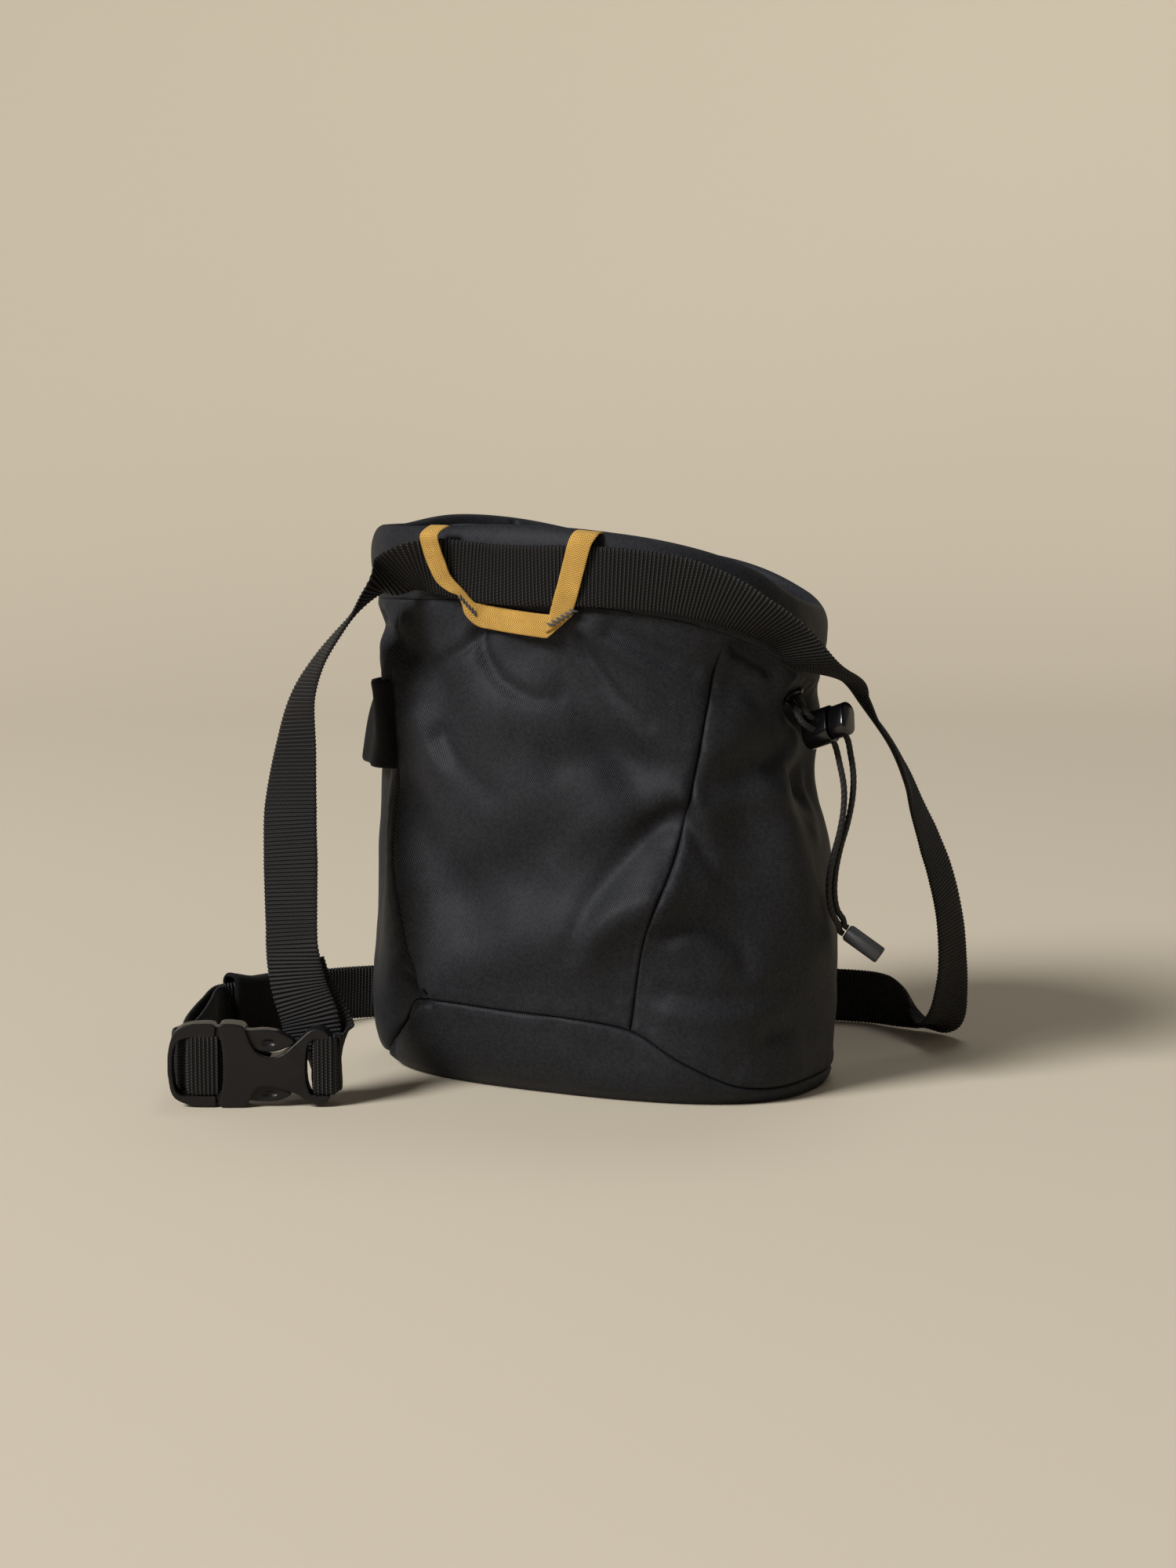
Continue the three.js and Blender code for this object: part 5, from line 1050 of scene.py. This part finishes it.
def sleeve_ring(grow, pull):
    corner = 0.8 + grow
    wide, high = half_wide + grow, half_high + grow
    ring = []
    for cx, cy, start in ((1, 1, 0), (-1, 1, 90), (-1, -1, 180), (1, -1, 270)):
        for turn in np.radians(np.linspace(start, start + 90, 5)):
            ring.append(
                (
                    cx * (wide - corner) + corner * math.cos(turn),
                    cy * (high - corner) + corner * math.sin(turn)
                )
            )
    ring = np.array(ring)
    bow = 1 - (ring[:, 1] / high) ** 2
    ring[:, 0] += np.sign(ring[:, 0]) * pull * bow
    return ring


lengths = np.linspace(-1, 1, 30) * KEEPER_LENGTH / 2
outer, inner = [], []
for at in lengths:
    end = KEEPER_LENGTH / 2 - abs(at)
    hem = 0.25 * math.exp(-(((end - 1.2) / 0.9) ** 2)) - 0.45 * math.exp(-end / 0.35)
    for rows_of, grow in ((outer, KEEPER_WALL + hem), (inner, 0.0)):
        slack = KEEPER_SLACK * steps_between(at, 1, KEEPER_LENGTH / 2)
        ring = sleeve_ring(grow + slack, 0.4)
        rows_of.append(
            centre + heading * at + aside * ring[:, :1] + np.array([0, 0, 1]) * (ring[:, 1:] + slack)
        )
outer, inner = np.stack(outer), np.stack(inner)
girths = np.concatenate(
    [[0], np.cumsum(np.linalg.norm(np.diff(np.vstack([outer[0], outer[0][:1]]), axis=0), axis=1))]
)
lay = np.stack(np.broadcast_arrays(girths[None, :], lengths[:, None]), -1)
keeper, _ = shell("belt_keeper_elastic", outer, inner, lay, around=True)
keeper.data.materials.append(elastic_finish)
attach(keeper, "root")
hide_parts("belt_keeper")


# Brush loop. A wide band of knitted elastic sewn to the left side, standing out a little
# more at its bottom, with a folded hem along its top edge.
LOOP_FROM, LOOP_TO, LOOP_AT = -174, -129, 0.742
LOOP_HEIGHT = 29
LOOP_WALL = 1.5
LOOP_STAND = 6.6
levels = np.linspace(0, 1, 34)
spread = np.linspace(0, 1, 60)
level, share = np.meshgrid(levels, spread, indexing="ij")
angle = LOOP_FROM + (LOOP_TO - LOOP_FROM) * share
half = LOOP_HEIGHT / 2 / neck_height(angle)
bow = np.sin(math.pi * share) ** 0.7
stand = 0.75 + bow * LOOP_STAND * (1 - 0.5 * level)
at = LOOP_AT + half * (2 * level - 1)
edge = np.minimum(level, 1 - level) * LOOP_HEIGHT
hem = 0.22 * np.exp(-(((1 - level) * LOOP_HEIGHT / 3) ** 4)) - 0.5 * np.exp(-edge / 0.35)
inner = body_point(angle, at, -stand)
outer = body_point(angle, at, -(stand + LOOP_WALL + hem))
lay = np.stack(
    [
        np.cumsum(np.insert(np.linalg.norm(np.diff(outer, axis=1), axis=-1), 0, 0, axis=1), axis=1),
        level * LOOP_HEIGHT
    ],
    -1
)
brush, _ = shell("brush_loop_elastic", outer, inner, lay)
brush.data.materials.append(elastic_finish)
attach(brush, "root")
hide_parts("brush_loop")


# Buckle. A side-release buckle moulded in black acetal: the frame with its two sprung
# prongs and middle bar, and the socket that they snap into, with the strap's end bar.
# Outlines are in mm, along the buckle from its outer bar and up from the ground.
BUCKLE_CORNER = (-94.922, -115.254, 0)
MOULD_STEP = 0.3
BAR_THICKNESS = 2.4
FRAME_OUTLINE = [
    (0.1, 11.5), (0.3, 17.2), (1.1, 21.1), (2.2, 23.7), (4.1, 25.7), (7, 26.7), (10.1, 27),
    (14.5, 26.9), (15.3, 26.4), (15.4, 25.2), (15.2, 21.9), (15.2, 19), (15.3, 8), (15.3, 3.6),
    (15.4, 0.6), (14.6, 0.15), (9.5, 0.3), (5, 1.4), (2.4, 2.9), (1.1, 5.1), (0.5, 8.3),
]
FRAME_SLOT = [
    (1.7, 13), (1.8, 16.5), (2.5, 19.6), (4, 21.5), (6, 22.2), (7.6, 22.2), (7.7, 13), (7.7, 4),
    (6.2, 3.7), (4.2, 4), (2.6, 5.6), (1.9, 8.6),
]
SOCKET_OUTLINE = [
    (17.9, 14), (17.7, 18.5), (17.1, 22.8), (16.6, 26), (17, 26.8), (22, 26.9), (24.3, 26.2), (25.4, 24.2),
    (26.4, 21.3), (28, 18.7), (30.2, 17), (32.6, 16.4), (35, 16.6), (37.6, 17.9), (40.2, 20.2),
    (42.7, 22.4), (45.2, 24.6), (48, 25.4), (50.4, 24.6), (51.6, 22.8), (51.9, 20.5), (51.9, 13),
    (51.9, 6), (51.7, 3.4), (50.6, 1.7), (48.6, 1), (46.2, 1.1), (43.8, 2.3), (41.6, 4), (38.6, 5.3),
    (35.4, 6.5), (32.4, 7.1), (29.8, 6.9), (28, 5.7), (26.8, 3.8), (26, 1.9), (24.6, 0.4), (22, 0.1),
    (17.1, 0.2), (16.6, 1), (17.1, 4), (17.8, 9),
]
SOCKET_SLOT = [
    (44, 13), (44.2, 17), (44.8, 20), (46, 21.6), (47.8, 21.7), (48, 13), (48, 5), (47.2, 4),
    (45.6, 4.2), (44.6, 6.3), (44.1, 9.6),
]
UPPER_PRONG = [
    (14, 25.8), (20, 25.7), (26.4, 24.7), (28.6, 24.9), (32, 24.9), (35.4, 24.2), (38, 22.9),
    (40.2, 21.4), (40.6, 20.6), (39, 19.6), (34, 17.8), (28, 18.4), (24, 21.5), (14, 21.9),
]
LOWER_PRONG = [
    (14, 1.2), (20, 1.3), (25.6, 2.2), (28, 1.9), (31, 1.8), (35, 2), (38.4, 3.3), (39.4, 4.3),
    (37, 5.9), (33, 7.6), (28, 7), (24, 5.2), (14, 5.1),
]


def plate(name, outlines, thickness, middle=0.0):
    """A flat moulding cut to smooth outlines, the first its edge and the others its holes."""
    flat = bpy.data.curves.new(name, "CURVE")
    flat.dimensions = "2D"
    flat.fill_mode = "BOTH"
    flat.extrude = thickness / 2000
    for outline_points in outlines:
        loop_points = [(u, w, 0) for u, w in outline_points + outline_points[:1]]
        edge_points = smooth_run(loop_points, 0.5)[0][:-1] / 1000
        spline = flat.splines.new("POLY")
        spline.points.add(len(edge_points) - 1)
        spline.points.foreach_set("co", np.column_stack([edge_points, np.ones(len(edge_points))]).ravel())
        spline.use_cyclic_u = True
    holder = bpy.data.objects.new(name, flat)
    bpy.context.scene.collection.objects.link(holder)
    mesh = bpy.data.meshes.new_from_object(holder.evaluated_get(bpy.context.evaluated_depsgraph_get()))
    bpy.data.objects.remove(holder)
    piece = bpy.data.objects.new(name, mesh)
    bpy.context.scene.collection.objects.link(piece)
    shape = bmesh.new()
    shape.from_mesh(mesh)
    bmesh.ops.remove_doubles(shape, verts=shape.verts, dist=1e-6)
    bmesh.ops.translate(shape, verts=shape.verts, vec=(0, 0, middle / 1000))
    bmesh.ops.recalc_face_normals(shape, faces=shape.faces)
    shape.to_mesh(mesh)
    shape.free()
    return piece


def dish(piece, place, size):
    """An oval hollow pressed into a face, as a cut with a flattened ball."""
    bpy.ops.object.select_all(action="DESELECT")
    bpy.ops.mesh.primitive_uv_sphere_add(
        segments=32, ring_count=16, radius=0.001, location=[v / 1000 for v in place]
    )
    ball = bpy.context.object
    ball.scale = size
    bpy.context.view_layer.update()
    bpy.context.view_layer.objects.active = piece
    cut = piece.modifiers.new("cut", "BOOLEAN")
    cut.operation = "DIFFERENCE"
    cut.object = ball
    bpy.ops.object.modifier_apply(modifier="cut")
    bpy.data.objects.remove(ball)


def moulded(parts, name, node, rounds, depth_by):
    """Joins plates into one moulding with soft edges and stands it up where the buckle lies."""
    bpy.ops.object.select_all(action="DESELECT")
    for part in parts:
        part.select_set(True)
    piece = parts[0]
    bpy.context.view_layer.objects.active = piece
    if len(parts) > 1:
        bpy.ops.object.join()
    skin = piece.modifiers.new("skin", "REMESH")
    skin.mode = "VOXEL"
    skin.voxel_size = MOULD_STEP / 1000
    bpy.ops.object.modifier_apply(modifier="skin")
    soften = piece.modifiers.new("soften", "SMOOTH")
    soften.factor = 0.5
    soften.iterations = rounds
    bpy.ops.object.modifier_apply(modifier="soften")
    points = np.empty(3 * len(piece.data.vertices), np.float32)
    piece.data.vertices.foreach_get("co", points)
    points = points.reshape(-1, 3).astype(float) * 1000
    points[:, 2] = depth_by(*points.T)
    cos, sin = math.cos(LOOK_ROUND), math.sin(LOOK_ROUND)
    u, w, n = points.T
    stood = np.column_stack([u * cos + n * sin, u * sin - n * cos, w]) + BUCKLE_CORNER
    piece.data.vertices.foreach_set("co", (stood / 1000).astype(np.float32).ravel())
    piece.data.update()
    piece.name = name
    piece.data.shade_smooth()
    piece.data.materials.clear()
    piece.data.materials.append(plastic_finish)
    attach(piece, "root")
    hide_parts(node)
    return piece


plastic_finish, shader = new_finish("satin_plastic", 0.34, Specular_IOR_Level=0.24)
fine_grain = grain(plastic_finish, 3600.0, 3.0, 0.6)
cloudy = grain(plastic_finish, 90.0)
colour_by(
    plastic_finish, shader, tint(plastic_finish, cloudy, (0.0075, 0.0068, 0.0073), (0.012, 0.011, 0.0117))
)
raise_by(plastic_finish, shader, fine_grain, 0.000012, 0.5)

frame_body = plate("buckle_frame_moulding", [FRAME_OUTLINE, FRAME_SLOT], 6.6)


def thinned(u, w, n, bar, share):
    """Thins a bar that the webbing goes round, given by its ends along and up."""
    first, last, low, high = bar
    inside = steps_between(u, first - 0.5, first) * steps_between(-u, -last - 0.5, -last)
    inside *= steps_between(w, low - 0.7, low) * steps_between(-w, -high - 0.7, -high)
    return n * (1 - (1 - share) * inside)


upper_prong = plate("upper_prong", [UPPER_PRONG], 5)
lower_prong = plate("lower_prong", [LOWER_PRONG], 5)
dish(upper_prong, (32.2, 20.7, 3), (2.7, 1.25, 1.3))
dish(lower_prong, (32.4, 4.3, 3), (3.1, 1.15, 1.3))
moulded([frame_body, upper_prong, lower_prong], "buckle_frame_moulding", "buckle_frame", 7,
        lambda u, w, n: thinned(u, w, n, (7.4, 15.6, 4.2, 22), BAR_THICKNESS / 6.6))

socket_body = plate("buckle_socket_moulding", [SOCKET_OUTLINE, SOCKET_SLOT], 8.8)
socket_mouth = plate(
    "socket_mouth", [[(15, 25.6), (22, 25.6), (31, 22), (31, 3), (22, 1.4), (15, 1.4)]], 5.6
)
bpy.context.view_layer.objects.active = socket_body
cut = socket_body.modifiers.new("cut", "BOOLEAN")
cut.operation = "DIFFERENCE"
cut.object = socket_mouth
bpy.ops.object.modifier_apply(modifier="cut")
bpy.data.objects.remove(socket_mouth)


def socket_face(u, w, n):
    """The face falls a little to both edges, and in two planes towards the end bar."""
    past = u - (43 - 1.1 * np.abs(w - 12))
    fall = 0.5 * ((w - 12.5) / 13) ** 2 + 0.7 * np.clip(past / 7, 0, 1)
    n = n - fall * steps_between(n, 0.5, 2.5)
    return thinned(u, w, n, (47.8, 53, 4.2, 21.4), BAR_THICKNESS / 8.8)


moulded([socket_body], "buckle_socket_moulding", "buckle_socket", 6, socket_face)


# Floor and backdrop. A wide bowl of warm grey-beige paper: flat under the bag and rising in
# one soft bend far behind it, so that no line shows from any side.
paper_finish, shader = new_finish("beige_paper", 0.9, Specular_IOR_Level=0.2)
colour_by(
    paper_finish, shader,
    tint(paper_finish, grain(paper_finish, 1.2), (0.6, 0.53, 0.415), (0.64, 0.565, 0.445))
)
FLAT_REACH, BEND_RADIUS, BEND_END = 1.2, 1.0, 78
profile = [(0, 0), (0.4, 0), (0.8, 0), (FLAT_REACH, 0)]
profile += [
    (FLAT_REACH + BEND_RADIUS * math.sin(t), BEND_RADIUS - BEND_RADIUS * math.cos(t))
    for t in np.radians(np.linspace(6, BEND_END, 13))
]
turns = np.linspace(0, 2 * math.pi, 96, endpoint=False)
bowl = [
    (r * math.cos(t) * 1000, r * math.sin(t) * 1000, z * 1000 - 0.05) for r, z in profile for t in turns
]
size = len(turns)
faces = [
    (k * size + i, k * size + (i + 1) % size, (k + 1) * size + (i + 1) % size, (k + 1) * size + i)
    for k in range(len(profile) - 1) for i in range(size)
]
backdrop = made("paper_backdrop", bowl, faces)
backdrop.data.materials.append(paper_finish)

# Lights. One large soft lamp from the upper left in front, a weaker one from the right
# behind, and an even warm glow from all round.
glow = bpy.data.worlds.new("glow")
glow.use_nodes = True
glow.node_tree.nodes["Background"].inputs["Color"].default_value = (1, 0.985, 0.96, 1)
glow.node_tree.nodes["Background"].inputs["Strength"].default_value = 0.085
bpy.context.scene.world = glow


def soft_lamp(name, place, size, power, target=(0, 0, 0.08)):
    lamp = bpy.data.objects.new(name, bpy.data.lights.new(name, "AREA"))
    lamp.data.shape = "DISK"
    lamp.data.size = size
    lamp.data.energy = power
    cos, sin = math.cos(LOOK_ROUND), math.sin(LOOK_ROUND)
    lamp.location = (place[0] * cos - place[1] * sin, place[0] * sin + place[1] * cos, place[2])
    lamp.rotation_euler = (Vector(target) - lamp.location).to_track_quat("-Z", "Y").to_euler()
    lamp.visible_camera = False
    bpy.context.scene.collection.objects.link(lamp)


soft_lamp("lamp_key", (-3.5, -2.6, 3.3), 2.0, 345)
soft_lamp("lamp_top", (0.6, 1.2, 3.2), 1.6, 15)

scene = bpy.context.scene
scene.view_settings.view_transform = "Standard"
scene.view_settings.look = "None"
